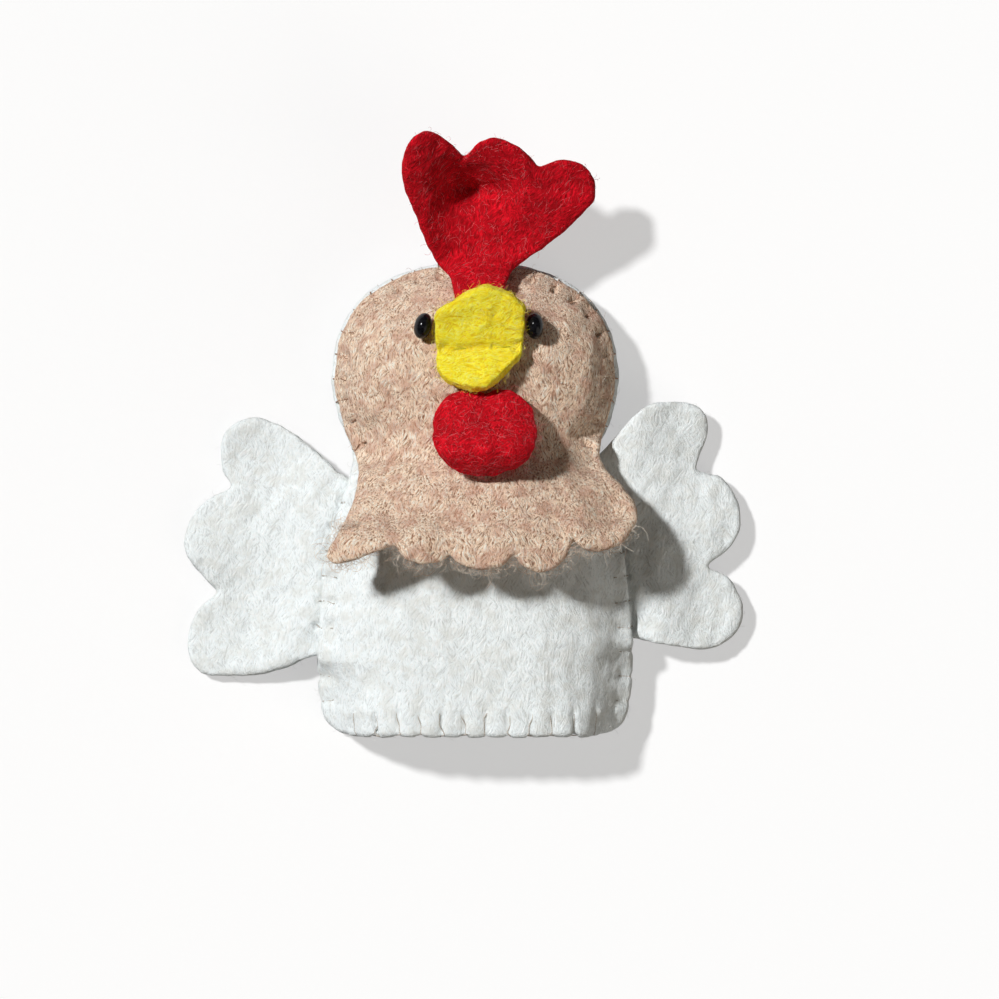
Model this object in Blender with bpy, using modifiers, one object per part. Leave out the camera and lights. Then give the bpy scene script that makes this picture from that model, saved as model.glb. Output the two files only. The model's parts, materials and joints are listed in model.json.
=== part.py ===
"""Felt hen finger puppet, lying on its back.

Two white felt panels are whip-stitched together into a pocket that is open at the hem. The wings
are caught in its side seams, and a tan face with a scalloped collar lies over the head. The comb,
the folded beak and the wattle are sewn to the face, and the eyes are glass beads.

X runs across the body, Y from the hem to the comb, and Z up, out of the face. The origin is on the
back panel's flat, on the centreline, midway between the hem and the comb's tips.
"""

import functools
import math

import bmesh
import bpy
from mathutils import Vector

MM = 0.001

# Felt and the gap that touching layers keep
WHITE_FELT = 2.0 * MM
TAN_FELT = 2.0 * MM
COMB_FELT = 2.2 * MM
BEAK_FELT = 2.0 * MM
WATTLE_FELT = 3.0 * MM
LAYER_GAP = 0.3 * MM
FELT_CELL = 3.4 * MM

# The pattern that the front and the back panel are both cut to
HEM_Y = -45.0 * MM
BODY_WIDTH = 47.2 * MM
HEM_WIDTH = 46.4 * MM
HEM_CORNER = 5.0 * MM
SHOULDER_WIDTH = 44.2 * MM
SHOULDER_Y = -17.0 * MM
NECK_WIDTH = 36.4 * MM
NECK_Y = -3.6 * MM
HEAD_WIDTH = 43.0 * MM
HEAD_Y = 8.5 * MM
HEAD_TOP_Y = 26.2 * MM

# The pocket: how far the panels stand apart, and how they come together at the seams
POCKET_DEPTH = 11.0 * MM
CROWN_REACH = 14.0 * MM
CROWN_POWER = 2.2
SEAM_FLANGE = 1.5 * MM
FLANGE_SOFTNESS = 0.13
BACK_RIM_LIFT = 1.4 * MM
BACK_RIM_ROLL = 8.0 * MM

# The face and its collar, which stands off the chest
FACE_INSET = 0.5 * MM
COLLAR_LIFT = 0.9 * MM
COLLAR_START = 5.0 * MM
COLLAR_FLARE = 7.4 * MM
COLLAR_LEFT_FALL = 3.8 * MM
COLLAR_RIGHT_FALL = 8.0 * MM
COLLAR_EDGE_DROP = 3.2 * MM

# The wings
LEFT_WING_REACH = 20.3 * MM
LEFT_WING_TOP = 2.6 * MM
LEFT_WING_HEIGHT = 38.6 * MM
RIGHT_WING_REACH = 16.7 * MM
RIGHT_WING_TOP = 5.3 * MM
RIGHT_WING_HEIGHT = 37.3 * MM
WING_TAB = 4.2 * MM
WING_DROOP = 11.0 * MM
RIGHT_WING_ARCH = 2.2 * MM
RIGHT_WING_ARCH_REACH = 15.0 * MM
WING_REST = 0.15 * MM
WING_WAVE = 0.9 * MM
WING_WAVE_LENGTH = 21.0 * MM

# The comb, measured from the top of the head, with a root that is tucked under the beak
COMB_WIDTH = 28.5 * MM
COMB_HEIGHT = 19.0 * MM
COMB_ROOT_WIDTH = 5.6 * MM
COMB_TUCK = 5.2 * MM
COMB_STANDOFF = 0.4 * MM
COMB_DROOP = 6.2 * MM
COMB_RISE = 6.0 * MM
COMB_LEAN = 4.6 * MM
COMB_CURL = 3.0 * MM
COMB_SIDE_LIFT = 2.0 * MM
COMB_DENT = 2.4 * MM
COMB_DENT_SPREAD = 5.5 * MM

# The beak, folded across its middle
BEAK_X = 0.9 * MM
BEAK_Y = 13.1 * MM
BEAK_WIDTH = 13.0 * MM
BEAK_UPPER_FLAP = 9.65 * MM
BEAK_LOWER_FLAP = 7.4 * MM
BEAK_SHOULDER = 6.1 * MM
BEAK_TILT = math.radians(2.5)
BEAK_FOLD_RADIUS = 1.9 * MM
BEAK_UPPER_ANGLE = math.radians(17)
BEAK_LOWER_ANGLE = math.radians(30)

# The wattle, a plump heart that hangs out under the beak
WATTLE_X = 1.4 * MM
WATTLE_Y = 5.25 * MM
WATTLE_WIDTH = 15.0 * MM
WATTLE_HANG = 11.8 * MM
WATTLE_BEND_RADIUS = 8.0 * MM
WATTLE_ANGLE = math.radians(16)

# The eyes
BEAD_RADIUS = 1.9 * MM
BEAD_LENGTH = 2.3 * MM
BEAD_HOLE = 0.55 * MM
BEAD_CLEARANCE = 1.85 * MM
BEAD_Y = 16.4 * MM
LEFT_BEAD_TURN = math.radians(-15)
RIGHT_BEAD_TURN = 0.0

# Thread and the needle holes that it runs through
THREAD_RADIUS = 0.2 * MM
THREAD_CLEARANCE = 0.15 * MM
NEEDLE_HOLE = 0.5 * MM
CREASE_HOLE = 0.75 * MM
HOLE_SIDES = 6
SEAM_INSET = 2.0 * MM
SEAM_PITCH = 3.7 * MM
HEM_INSET = 3.6 * MM
HEM_PITCH = 3.45 * MM
TACK_WIDTH = 3.4 * MM

WHITE = (0.86, 0.87, 0.83, 1.0)
TAN = (0.60, 0.40, 0.26, 1.0)
RED = (0.52, 0.004, 0.012, 1.0)
YELLOW = (0.90, 0.72, 0.03, 1.0)
BLACK = (0.006, 0.006, 0.007, 1.0)
THREAD_WHITE = (0.82, 0.81, 0.77, 1.0)

SMOOTH_STEPS = 4
WELD = 0.002 * MM
GRADIENT_STEP = 0.6 * MM


def smoothstep(share):
    share = min(max(share, 0.0), 1.0)
    return share * share * (3.0 - 2.0 * share)


def bell(distance, spread):
    return math.exp(-((distance / spread) ** 2))


# Outlines


def smooth_outline(points, steps=SMOOTH_STEPS):
    """A closed line through points (x, y, kind), curved through 'soft' ones and sharp at 'notch' ones."""
    line = []
    count = len(points)
    for index in range(count):
        before, start, end, after = (points[(index + k) % count] for k in (-1, 0, 1, 2))
        run = Vector(end[:2]) - Vector(start[:2])
        leave = (Vector(end[:2]) - Vector(before[:2])) / 2 if start[2] == "soft" else run
        arrive = (Vector(after[:2]) - Vector(start[:2])) / 2 if end[2] == "soft" else run
        leave *= min(1.0, 1.2 * run.length / max(leave.length, 1e-9))
        arrive *= min(1.0, 1.2 * run.length / max(arrive.length, 1e-9))
        for step in range(steps):
            t = step / steps
            line.append(
                Vector(start[:2]) * (2 * t**3 - 3 * t**2 + 1)
                + leave * (t**3 - 2 * t**2 + t)
                + Vector(end[:2]) * (3 * t**2 - 2 * t**3)
                + arrive * (t**3 - t**2)
            )
    return line


def mirrored(half):
    """The right half of an outline, bottom to top, completed by its mirror image."""
    return half + [(-x, y, kind) for x, y, kind in reversed(half) if x > 0]


def panel_points(inset=0.0):
    """The pattern of the white panels, from the hem's middle up the right side."""
    hem, corner = HEM_WIDTH / 2 - inset, HEM_CORNER
    diagonal = corner * (1 - math.sqrt(0.5))
    head = HEAD_WIDTH / 2 - inset
    rise = HEAD_TOP_Y - inset - HEAD_Y
    return mirrored(
        [
            (0.0, HEM_Y, "soft"),
            (hem - corner, HEM_Y, "notch"),
            (hem - diagonal, HEM_Y + diagonal, "soft"),
            (hem, HEM_Y + corner, "soft"),
            (BODY_WIDTH / 2 - inset, (HEM_Y + SHOULDER_Y) / 2, "soft"),
            (SHOULDER_WIDTH / 2 - inset, SHOULDER_Y, "soft"),
            (NECK_WIDTH / 2 - inset, NECK_Y, "soft"),
            (head * 0.945, (NECK_Y + HEAD_Y) / 2, "soft"),
            (head, HEAD_Y, "soft"),
            (head * 0.945, HEAD_Y + rise * 0.41, "soft"),
            (head * 0.76, HEAD_Y + rise * 0.73, "soft"),
            (head * 0.42, HEAD_Y + rise * 0.94, "soft"),
            (0.0, HEAD_TOP_Y - inset, "soft"),
        ]
    )


PANEL_LINE = smooth_outline(panel_points())
SIDE_LINE = [p for p in PANEL_LINE if p.y > HEM_Y + HEM_CORNER * 0.9]
SIDE_START = SIDE_LINE.index(max(SIDE_LINE, key=lambda p: (p.x > 0, -p.y)))
SIDE_LINE = SIDE_LINE[SIDE_START:] + SIDE_LINE[:SIDE_START]


def distance_to(line, x, y, closed):
    """How far a point is from a line of points, and the nearest point on it."""
    best, nearest = math.inf, None
    for index in range(len(line) if closed else len(line) - 1):
        a, b = line[index], line[(index + 1) % len(line)]
        ex, ey = b.x - a.x, b.y - a.y
        length = ex * ex + ey * ey
        t = min(max(((x - a.x) * ex + (y - a.y) * ey) / length, 0.0), 1.0)
        gap = math.hypot(x - a.x - t * ex, y - a.y - t * ey)
        if gap < best:
            best, nearest = gap, (a.x + t * ex, a.y + t * ey)
    return best, nearest


def inside(line, x, y):
    hit = False
    for index, a in enumerate(line):
        b = line[index - 1]
        if (a.y > y) != (b.y > y) and x < a.x + (y - a.y) * (b.x - a.x) / (b.y - a.y):
            hit = not hit
    return hit


@functools.lru_cache(maxsize=None)
def depth_in_panel(x, y):
    """How far inside the panel's whole outline a point is; below zero outside it."""
    gap = distance_to(PANEL_LINE, x, y, True)[0]
    return gap if inside(PANEL_LINE, x, y) else -gap


@functools.lru_cache(maxsize=None)
def depth_from_seam(x, y):
    """How far in from the sewn edge a point is. The open hem doesn't count, and outside is zero."""
    if y < SIDE_LINE[0].y:
        return max(0.0, SIDE_LINE[0].x - abs(x))
    return distance_to(SIDE_LINE, x, y, False)[0] if inside(PANEL_LINE, x, y) else 0.0


def seam_x(y):
    """Half the panel's width at a height between the hem and the head's widest line."""
    right = [p for p in SIDE_LINE if p.x > 0 and p.y <= HEAD_Y]
    right.sort(key=lambda p: p.y)
    for low, high in zip(right, right[1:]):
        if low.y <= y <= high.y:
            return low.x + (high.x - low.x) * (y - low.y) / (high.y - low.y)
    return right[0].x if y < right[0].y else right[-1].x


# Surfaces: each gives the height of one side of a felt piece over a point


def slope_factor(surface, x, y):
    """How much thicker a sloping sheet is when it is measured straight up."""
    step = GRADIENT_STEP
    dx = (surface(x + step, y) - surface(x - step, y)) / (2 * step)
    dy = (surface(x, y + step) - surface(x, y - step)) / (2 * step)
    return math.sqrt(1.0 + dx * dx + dy * dy)


def crown(depth):
    """0 on the seam's flat flange, rising quickly and then gently to 1 over the finger."""
    t = min(max((depth - SEAM_FLANGE) / CROWN_REACH, 0.0), 1.0)
    t = t * t * (1 + FLANGE_SOFTNESS) / (t + FLANGE_SOFTNESS)
    return 1.0 - (1.0 - t) ** CROWN_POWER


def wing_size(side):
    """A wing's reach from the body, and its highest and lowest Y. side is -1 on the left."""
    if side < 0:
        return LEFT_WING_REACH, LEFT_WING_TOP, LEFT_WING_TOP - LEFT_WING_HEIGHT
    return RIGHT_WING_REACH, RIGHT_WING_TOP, RIGHT_WING_TOP - RIGHT_WING_HEIGHT


def wing_root(side):
    """The lowest and highest Y of a wing's root."""
    _, top, bottom = wing_size(side)
    height = top - bottom
    low, high = (0.08, 0.76) if side < 0 else (0.045, 0.775)
    return bottom + low * height, bottom + high * height


def wing_between(x, y):
    """1 where a wing lies between the panels at the seam, and 0 away from it."""
    low, high = wing_root(math.copysign(1, x))
    ease = 3.0 * MM
    return smoothstep((y - low + ease) / ease) * smoothstep((high + ease - y) / ease)


def back_lower(x, y):
    return BACK_RIM_LIFT * (1.0 - smoothstep(depth_in_panel(x, y) / BACK_RIM_ROLL))


def back_upper(x, y):
    return back_lower(x, y) + WHITE_FELT


def front_lower(x, y):
    """The front panel's inside: down at the seams, where it may lie on a wing, and up over the finger."""
    seam = BACK_RIM_LIFT + WHITE_FELT + LAYER_GAP
    seam += wing_between(x, y) * (WHITE_FELT + LAYER_GAP)
    roof = WHITE_FELT + POCKET_DEPTH
    return seam + (roof - seam) * crown(depth_from_seam(x, y))


@functools.lru_cache(maxsize=None)
def front_upper(x, y):
    return front_lower(x, y) + WHITE_FELT * slope_factor(front_lower, x, y)


def collar_share(y):
    """0 over the head, growing to 1 at the collar's scalloped edge."""
    return smoothstep((NECK_Y + COLLAR_START - y) / (NECK_Y + COLLAR_START - collar_edge_y()))


def collar_edge_y():
    return SHOULDER_Y - COLLAR_EDGE_DROP


def cape(x, y):
    """The collar's own curve: clear of the chest, a little lower on the left and lower still on the right."""
    middle = WHITE_FELT * 2 + POCKET_DEPTH + COLLAR_FLARE
    out = x / (BODY_WIDTH / 2)
    left = COLLAR_LEFT_FALL * max(-out - 0.12, 0.0) ** 1.6
    right = COLLAR_RIGHT_FALL * max(out - 0.15, 0.0) ** 1.4
    return middle - left - right


@functools.lru_cache(maxsize=None)
def face_lower(x, y):
    laid = front_upper(x, y) + LAYER_GAP + COLLAR_LIFT * smoothstep((NECK_Y - y) / COLLAR_START)
    return laid + collar_share(y) * max(0.0, cape(x, y) - laid)


def face_upper(x, y):
    return face_lower(x, y) + TAN_FELT * min(slope_factor(face_lower, x, y), 1.6)


def wing_lower(x, y):
    """A wing's underside: over the back panel at its root, then down to where the puppet lies."""
    depth = depth_in_panel(x, y)
    if depth > 0:
        return back_upper(x, y) + LAYER_GAP
    root = BACK_RIM_LIFT + WHITE_FELT + LAYER_GAP
    out = smoothstep((-depth - SEAM_FLANGE / 2) / WING_DROOP)
    along = (abs(x) * 0.5 + y * 0.87) * 2 * math.pi / WING_WAVE_LENGTH
    wave = WING_WAVE * (0.5 + 0.5 * math.sin(along))
    lift = RIGHT_WING_ARCH * math.sin(math.pi * min(-depth / RIGHT_WING_ARCH_REACH, 1.0)) if x > 0 else 0.0
    return root + (WING_REST + wave - root) * out + lift


def wing_upper(x, y):
    return wing_lower(x, y) + WHITE_FELT


def comb_rest(x, y):
    """The comb's own curve: down with the face, then rising, higher on the left, to curled tips."""
    base = BEAK_Y + COMB_TUCK
    up = (y - HEAD_TOP_Y) / COMB_HEIGHT
    droop = COMB_DROOP * smoothstep((y - base) / (HEAD_TOP_Y - base))
    height = face_upper(0.0, base) + COMB_STANDOFF - droop
    rise = COMB_RISE * max(up, 0.0) - COMB_LEAN * (x / COMB_WIDTH) * smoothstep(up + 0.3)
    curl = COMB_CURL * smoothstep((up - 0.58) / 0.47)
    side = COMB_SIDE_LIFT * smoothstep((-x / COMB_WIDTH - 0.14) / 0.21)
    dent_y = HEAD_TOP_Y + 0.56 * COMB_HEIGHT
    dent = COMB_DENT * bell(math.hypot(x + 0.04 * COMB_WIDTH, y - dent_y), COMB_DENT_SPREAD)
    return height + rise + curl + side - dent


@functools.lru_cache(maxsize=None)
def comb_lower(x, y):
    """Its underside, which also clears the head's stitches where it crosses them."""
    if y > HEAD_TOP_Y:
        return comb_rest(x, y)
    over_seam = smoothstep((y - BEAK_Y - COMB_TUCK) / (HEAD_TOP_Y - SEAM_INSET - BEAK_Y - COMB_TUCK))
    clear = LAYER_GAP + over_seam * (THREAD_RADIUS * 2 + THREAD_CLEARANCE)
    return max(comb_rest(x, y), face_upper(x, y) + clear)


def comb_upper(x, y):
    return comb_lower(x, y) + COMB_FELT * slope_factor(comb_lower, x, y)


# Outlines of the pieces that are laid on the panels


def face_points():
    """The head's edge above the neck, and a scalloped collar below it."""
    head = [p for p in panel_points(FACE_INSET) if p[1] > NECK_Y + MM]
    right_head = [p for p in head if p[0] > 0]
    top_and_left = [p for p in head if p[0] <= 0]
    edge = collar_edge_y()
    body = BODY_WIDTH / 2
    neck = NECK_WIDTH / 2 + 0.4 * MM
    collar = [
        (-neck + 1.0 * MM, NECK_Y, "soft"),
        (-neck + 0.9 * MM, NECK_Y - 5.5 * MM, "soft"),
        (-body + 3.9 * MM, NECK_Y - 10.2 * MM, "soft"),
        (-body + 1.7 * MM, edge + 2.7 * MM, "soft"),
        (-body + 2.9 * MM, edge + 1.2 * MM, "soft"),
        (-body * 0.72, edge + 2.0 * MM, "soft"),
        (-body * 0.49, edge + 4.3 * MM, "notch"),
        (-body * 0.45, edge + 2.3 * MM, "soft"),
        (-body * 0.35, edge + 1.3 * MM, "soft"),
        (-body * 0.22, edge + 1.5 * MM, "soft"),
        (-body * 0.16, edge + 3.0 * MM, "notch"),
        (-body * 0.09, edge + 1.2 * MM, "soft"),
        (body * 0.03, edge + 0.4 * MM, "soft"),
        (body * 0.18, edge + 1.0 * MM, "soft"),
        (body * 0.24, edge + 3.2 * MM, "notch"),
        (body * 0.30, edge + 0.9 * MM, "soft"),
        (body * 0.42, edge, "soft"),
        (body * 0.55, edge + 1.5 * MM, "soft"),
        (body * 0.62, edge + 5.2 * MM, "notch"),
        (body * 0.69, edge + 3.4 * MM, "soft"),
        (body * 0.82, edge + 3.1 * MM, "soft"),
        (body * 0.96, edge + 5.2 * MM, "soft"),
        (body + 0.6 * MM, edge + 8.6 * MM, "soft"),
        (body * 0.95, NECK_Y - 4.6 * MM, "soft"),
        (neck + 1.0 * MM, NECK_Y - 1.6 * MM, "soft"),
        (neck - 0.2 * MM, NECK_Y + 1.2 * MM, "soft"),
    ]
    return right_head + top_and_left + collar


def wing_points(side):
    """Three lobes, as shares of the wing's reach and height, and a tab inside the seam."""
    left = [
        (0.246, 0.959, "soft"),
        (0.502, 1, "soft"),
        (0.7, 0.935, "soft"),
        (0.719, 0.813, "soft"),
        (0.64, 0.733, "notch"),
        (0.872, 0.663, "soft"),
        (1, 0.518, "soft"),
        (0.897, 0.415, "soft"),
        (0.734, 0.321, "notch"),
        (0.901, 0.246, "soft"),
        (0.985, 0.119, "soft"),
        (0.877, 0.013, "soft"),
        (0.591, 0, "soft"),
        (0.276, 0.031, "soft"),
    ]
    right = [
        (0.12, 0.971, "soft"),
        (0.407, 1, "soft"),
        (0.635, 0.962, "soft"),
        (0.689, 0.879, "soft"),
        (0.563, 0.718, "notch"),
        (0.826, 0.681, "soft"),
        (0.982, 0.536, "soft"),
        (0.904, 0.424, "soft"),
        (0.659, 0.33, "notch"),
        (0.892, 0.276, "soft"),
        (1, 0.145, "soft"),
        (0.898, 0.038, "soft"),
        (0.611, 0, "soft"),
        (0.275, 0.019, "soft"),
    ]
    reach, top, bottom = wing_size(side)
    low, high = wing_root(side)
    half = BODY_WIDTH / 2
    heights = [high, high + (low - high) / 4, (low + high) / 2, low + (high - low) / 4, low]
    tab = [(side * (seam_x(y) - WING_TAB), y, "notch") for y in reversed(heights)]
    crossing = [(side * (seam_x(y) + 0.4 * MM), y, "notch") for y in (low, high)]
    outer = [
        (side * (half + out * reach), bottom + up * (top - bottom), kind)
        for out, up, kind in (left if side < 0 else right)
    ]
    return [crossing[1], *outer, crossing[0], *tab]


def comb_points():
    """Three rounded lobes, as shares of the comb's width and height, over a root tucked under the beak."""
    lobes = [
        (-0.189, -0.037, "soft"),
        (-0.281, 0.263, "soft"),
        (-0.375, 0.632, "soft"),
        (-0.347, 0.895, "soft"),
        (-0.239, 1, "soft"),
        (-0.112, 0.889, "soft"),
        (-0.056, 0.789, "notch"),
        (0.021, 0.916, "soft"),
        (0.126, 0.953, "soft"),
        (0.26, 0.847, "soft"),
        (0.33, 0.726, "notch"),
        (0.47, 0.789, "soft"),
        (0.604, 0.695, "soft"),
        (0.618, 0.495, "soft"),
        (0.477, 0.253, "soft"),
        (0.246, 0, "soft"),
    ]
    root = BEAK_Y + COMB_TUCK
    narrow = COMB_ROOT_WIDTH / 2
    return [
        (-narrow + 0.2 * MM, root, "notch"),
        (-narrow - 0.5 * MM, root + 5.0 * MM, "soft"),
        *((x * COMB_WIDTH, HEAD_TOP_Y + y * COMB_HEIGHT, kind) for x, y, kind in lobes),
        (narrow + 2.2 * MM, root + 6.0 * MM, "soft"),
        (narrow + 0.2 * MM, root, "notch"),
    ]


def beak_points():
    """An uneven hexagon about the fold line, with its corners just rounded."""
    half, shoulder, down = BEAK_WIDTH / 2, BEAK_SHOULDER, BEAK_LOWER_FLAP
    soft = 0.7 * MM
    return [
        (0.04 * BEAK_WIDTH, -down, "soft"),
        (half - soft, -0.4 * down, "soft"),
        (half, -0.26 * down, "soft"),
        (half, 0.0, "notch"),
        (half, shoulder - soft, "soft"),
        (half - soft, shoulder + soft * 0.6, "soft"),
        (0.0, BEAK_UPPER_FLAP, "soft"),
        (-half + soft, shoulder + soft * 0.6, "soft"),
        (-half, shoulder - soft, "soft"),
        (-half, 0.0, "notch"),
        (-half, -0.42 * down, "soft"),
        (-half * 0.8, -0.76 * down, "soft"),
    ]


def wattle_points():
    """A rounded heart, measured from its stitches down. The notch is at its top, under the beak."""
    half, hang = WATTLE_WIDTH / 2, WATTLE_HANG
    return mirrored(
        [
            (0.0, -hang + 0.4 * MM, "soft"),
            (half * 0.56, -hang + 1.6 * MM, "soft"),
            (half * 0.93, -hang * 0.66, "soft"),
            (half, -hang * 0.38, "soft"),
            (half * 0.86, -hang * 0.06, "soft"),
            (half * 0.50, 1.3 * MM, "soft"),
            (half * 0.20, 1.4 * MM, "soft"),
            (0.0, 0.7 * MM, "notch"),
        ]
    )


# Modelling


def material(name, colour, roughness):
    made = bpy.data.materials.new(name)
    made.use_nodes = True
    shader = made.node_tree.nodes["Principled BSDF"]
    shader.inputs["Base Color"].default_value = colour
    shader.inputs["Roughness"].default_value = roughness
    return made


def collected(name, mesh, collection):
    made = bpy.data.objects.new(name, mesh)
    collection.objects.link(made)
    return made


def baked(source, name, collection):
    """A mesh object with what the source looks like after its modifiers, which it takes the place of."""
    graph = bpy.context.evaluated_depsgraph_get()
    mesh = bpy.data.meshes.new_from_object(source.evaluated_get(graph))
    matrix = source.matrix_world.copy()
    bpy.data.objects.remove(source)
    made = collected(name, mesh, collection)
    made.matrix_world = matrix
    return made


def circle(x, y, radius):
    turns = (math.radians(360 * k / HOLE_SIDES + 30) for k in range(HOLE_SIDES))
    return [Vector((x + radius * math.cos(a), y + radius * math.sin(a))) for a in turns]


def pattern_cutter(lines, height, collection):
    """A prism over closed lines: the first is the edge of the cloth, and the others are holes in it."""
    curve = bpy.data.curves.new("pattern", "CURVE")
    curve.dimensions = "2D"
    curve.fill_mode = "BOTH"
    curve.extrude = height
    for line in lines:
        spline = curve.splines.new("POLY")
        spline.points.add(len(line) - 1)
        for point, place in zip(spline.points, line):
            point.co = (place.x, place.y, 0.0, 1.0)
        spline.use_cyclic_u = True
    prism = baked(collected("pattern", curve, collection), "pattern_prism", collection)
    welded = bmesh.new()
    welded.from_mesh(prism.data)
    bmesh.ops.remove_doubles(welded, verts=welded.verts, dist=WELD)
    bmesh.ops.recalc_face_normals(welded, faces=welded.faces)
    welded.to_mesh(prism.data)
    welded.free()
    prism.hide_render = True
    prism.display_type = "WIRE"
    return prism


def cut_felt(name, line, holes, thickness, parts, cutters, cell=FELT_CELL):
    """A flat felt piece, cut from a sheet of square cells by its pattern. Holes are (x, y, radius)."""
    low = [math.floor(min(p[k] for p in line) / cell - 1) for k in (0, 1)]
    high = [math.ceil(max(p[k] for p in line) / cell + 1) for k in (0, 1)]
    across, up = high[0] - low[0], high[1] - low[1]
    sheet = bmesh.new()
    bmesh.ops.create_grid(sheet, x_segments=across, y_segments=up, size=0.5)
    bmesh.ops.scale(sheet, vec=(across * cell, up * cell, 1.0), verts=sheet.verts)
    middle = ((low[0] + high[0]) * cell / 2, (low[1] + high[1]) * cell / 2, 0.0)
    bmesh.ops.translate(sheet, vec=middle, verts=sheet.verts)
    mesh = bpy.data.meshes.new(name)
    sheet.to_mesh(mesh)
    sheet.free()
    blank = collected(name + "_blank", mesh, parts)
    solid = blank.modifiers.new("thickness", "SOLIDIFY")
    solid.thickness = thickness
    solid.offset = 0.0
    lines = [line] + [circle(*hole) for hole in holes]
    cut = blank.modifiers.new("pattern", "BOOLEAN")
    cut.operation = "INTERSECT"
    cut.solver = "EXACT"
    cut.object = pattern_cutter(lines, thickness * 2, cutters)
    return baked(blank, name, parts)


def lay(piece, thickness, lower, upper):
    """Forms a flat felt piece so that its two sides follow two surfaces, keeping its outline in plan."""
    for vertex in piece.data.vertices:
        x, y, z = vertex.co
        share = z / thickness + 0.5
        vertex.co.z = lower(x, y) * (1.0 - share) + upper(x, y) * share


def fold(piece, place, tilt, radius, down_angle, up_angle):
    """Bends a flat piece about a line across it, each half by its own angle, then turns and places it."""
    for vertex in piece.data.vertices:
        u, v, w = vertex.co
        angle = min(max(v / radius, -down_angle), up_angle)
        beyond = v - angle * radius
        y = radius * math.sin(angle) + beyond * math.cos(angle) - w * math.sin(angle)
        z = radius * (1.0 - math.cos(angle)) + beyond * math.sin(angle) + w * math.cos(angle)
        turned_x = u * math.cos(tilt) - y * math.sin(tilt)
        turned_y = u * math.sin(tilt) + y * math.cos(tilt)
        vertex.co = Vector(place) + Vector((turned_x, turned_y, z))


def finish(piece, look):
    """Splits the bent faces into flat ones, turns them outwards, and gives the piece its look."""
    shaped = bmesh.new()
    shaped.from_mesh(piece.data)
    bmesh.ops.dissolve_degenerate(shaped, dist=WELD, edges=shaped.edges)
    bmesh.ops.triangulate(shaped, faces=shaped.faces, quad_method="FIXED")
    bmesh.ops.recalc_face_normals(shaped, faces=shaped.faces)
    shaped.to_mesh(piece.data)
    shaped.free()
    piece.data.materials.clear()
    piece.data.materials.append(look)
    piece.data.shade_smooth()
    piece.data.set_sharp_from_angle(angle=math.radians(50))


def thread(name, path, cyclic, look, parts):
    """A sewing thread along a path of points."""
    curve = bpy.data.curves.new(name, "CURVE")
    curve.dimensions = "3D"
    curve.bevel_depth = THREAD_RADIUS
    curve.bevel_resolution = 1
    curve.use_fill_caps = not cyclic
    spline = curve.splines.new("POLY")
    spline.points.add(len(path) - 1)
    for point, place in zip(spline.points, path):
        point.co = (*place, 1.0)
    spline.use_cyclic_u = cyclic
    curve.materials.append(look)
    return collected(name, curve, parts)


# Stitching


def stations(line, pitch):
    """Evenly spaced places on an open line, each with the direction to the line's left, which is inwards."""
    lengths = [0.0]
    for a, b in zip(line, line[1:]):
        lengths.append(lengths[-1] + (b - a).length)
    count = max(2, round(lengths[-1] / pitch) + 1)
    found = []
    for index in range(count):
        reach = lengths[-1] * index / (count - 1)
        k = max(i for i, at in enumerate(lengths[:-1]) if at <= reach + 1e-12)
        a, b = line[k], line[k + 1]
        along = (b - a).normalized()
        found.append((a + along * (reach - lengths[k]), Vector((-along.y, along.x))))
    return found


def side_run(low, high, side):
    """The stretch of the sewn edge between two heights, on one side."""
    return [p for p in SIDE_LINE if p.x * side > 0 and low < p.y < high]


def head_run():
    return [p for p in SIDE_LINE if p.y >= NECK_Y + 0.4 * MM]


def hole_places(run, inset):
    """Where the needle goes through, for each station of a seam."""
    return [point + inward * inset for point, inward in run]


def edge_places(run):
    """Where the thread passes the cut edge, for each station of a seam."""
    return [point - inward * (THREAD_RADIUS + THREAD_CLEARANCE) for point, inward in run]


def whip_path(run, inset, lower, upper):
    """A whip stitch: up through each hole, out over the cut edge, and back under to the next hole."""
    off = THREAD_RADIUS + THREAD_CLEARANCE
    path = []
    for point, inward in run:
        hole = point + inward * inset
        edge = point - inward * off
        path.append((hole.x, hole.y, lower(hole.x, hole.y) - off))
        path.append((hole.x, hole.y, upper(hole.x, hole.y) + off))
        path.append((edge.x, edge.y, upper(point.x, point.y) + off))
        path.append((edge.x, edge.y, lower(point.x, point.y) - off))
    return path


def tack_path(x, y, top, width=TACK_WIDTH):
    """A closed loop: through the layers at one hole, across the top, and back through the other."""
    off = THREAD_RADIUS + THREAD_CLEARANCE
    left, right = x - width / 2, x + width / 2
    under = [front_lower(at, y) - off for at in (left, right)]
    return [(left, y, under[0]), (left, y, top + off), (right, y, top + off), (right, y, under[1])]


def clear_of_edge(run, wing_line, inset):
    """Leaves out the stations whose thread would meet a wing's cut edge."""
    kept = []
    for station in run:
        needs = hole_places([station], inset) + edge_places([station])
        if min(distance_to(wing_line, p.x, p.y, True)[0] for p in needs) > 2.2 * NEEDLE_HOLE:
            kept.append(station)
    return kept


def holes_for(places, radius=NEEDLE_HOLE):
    return [(p[0], p[1], radius) for p in places]


# The puppet


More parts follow.
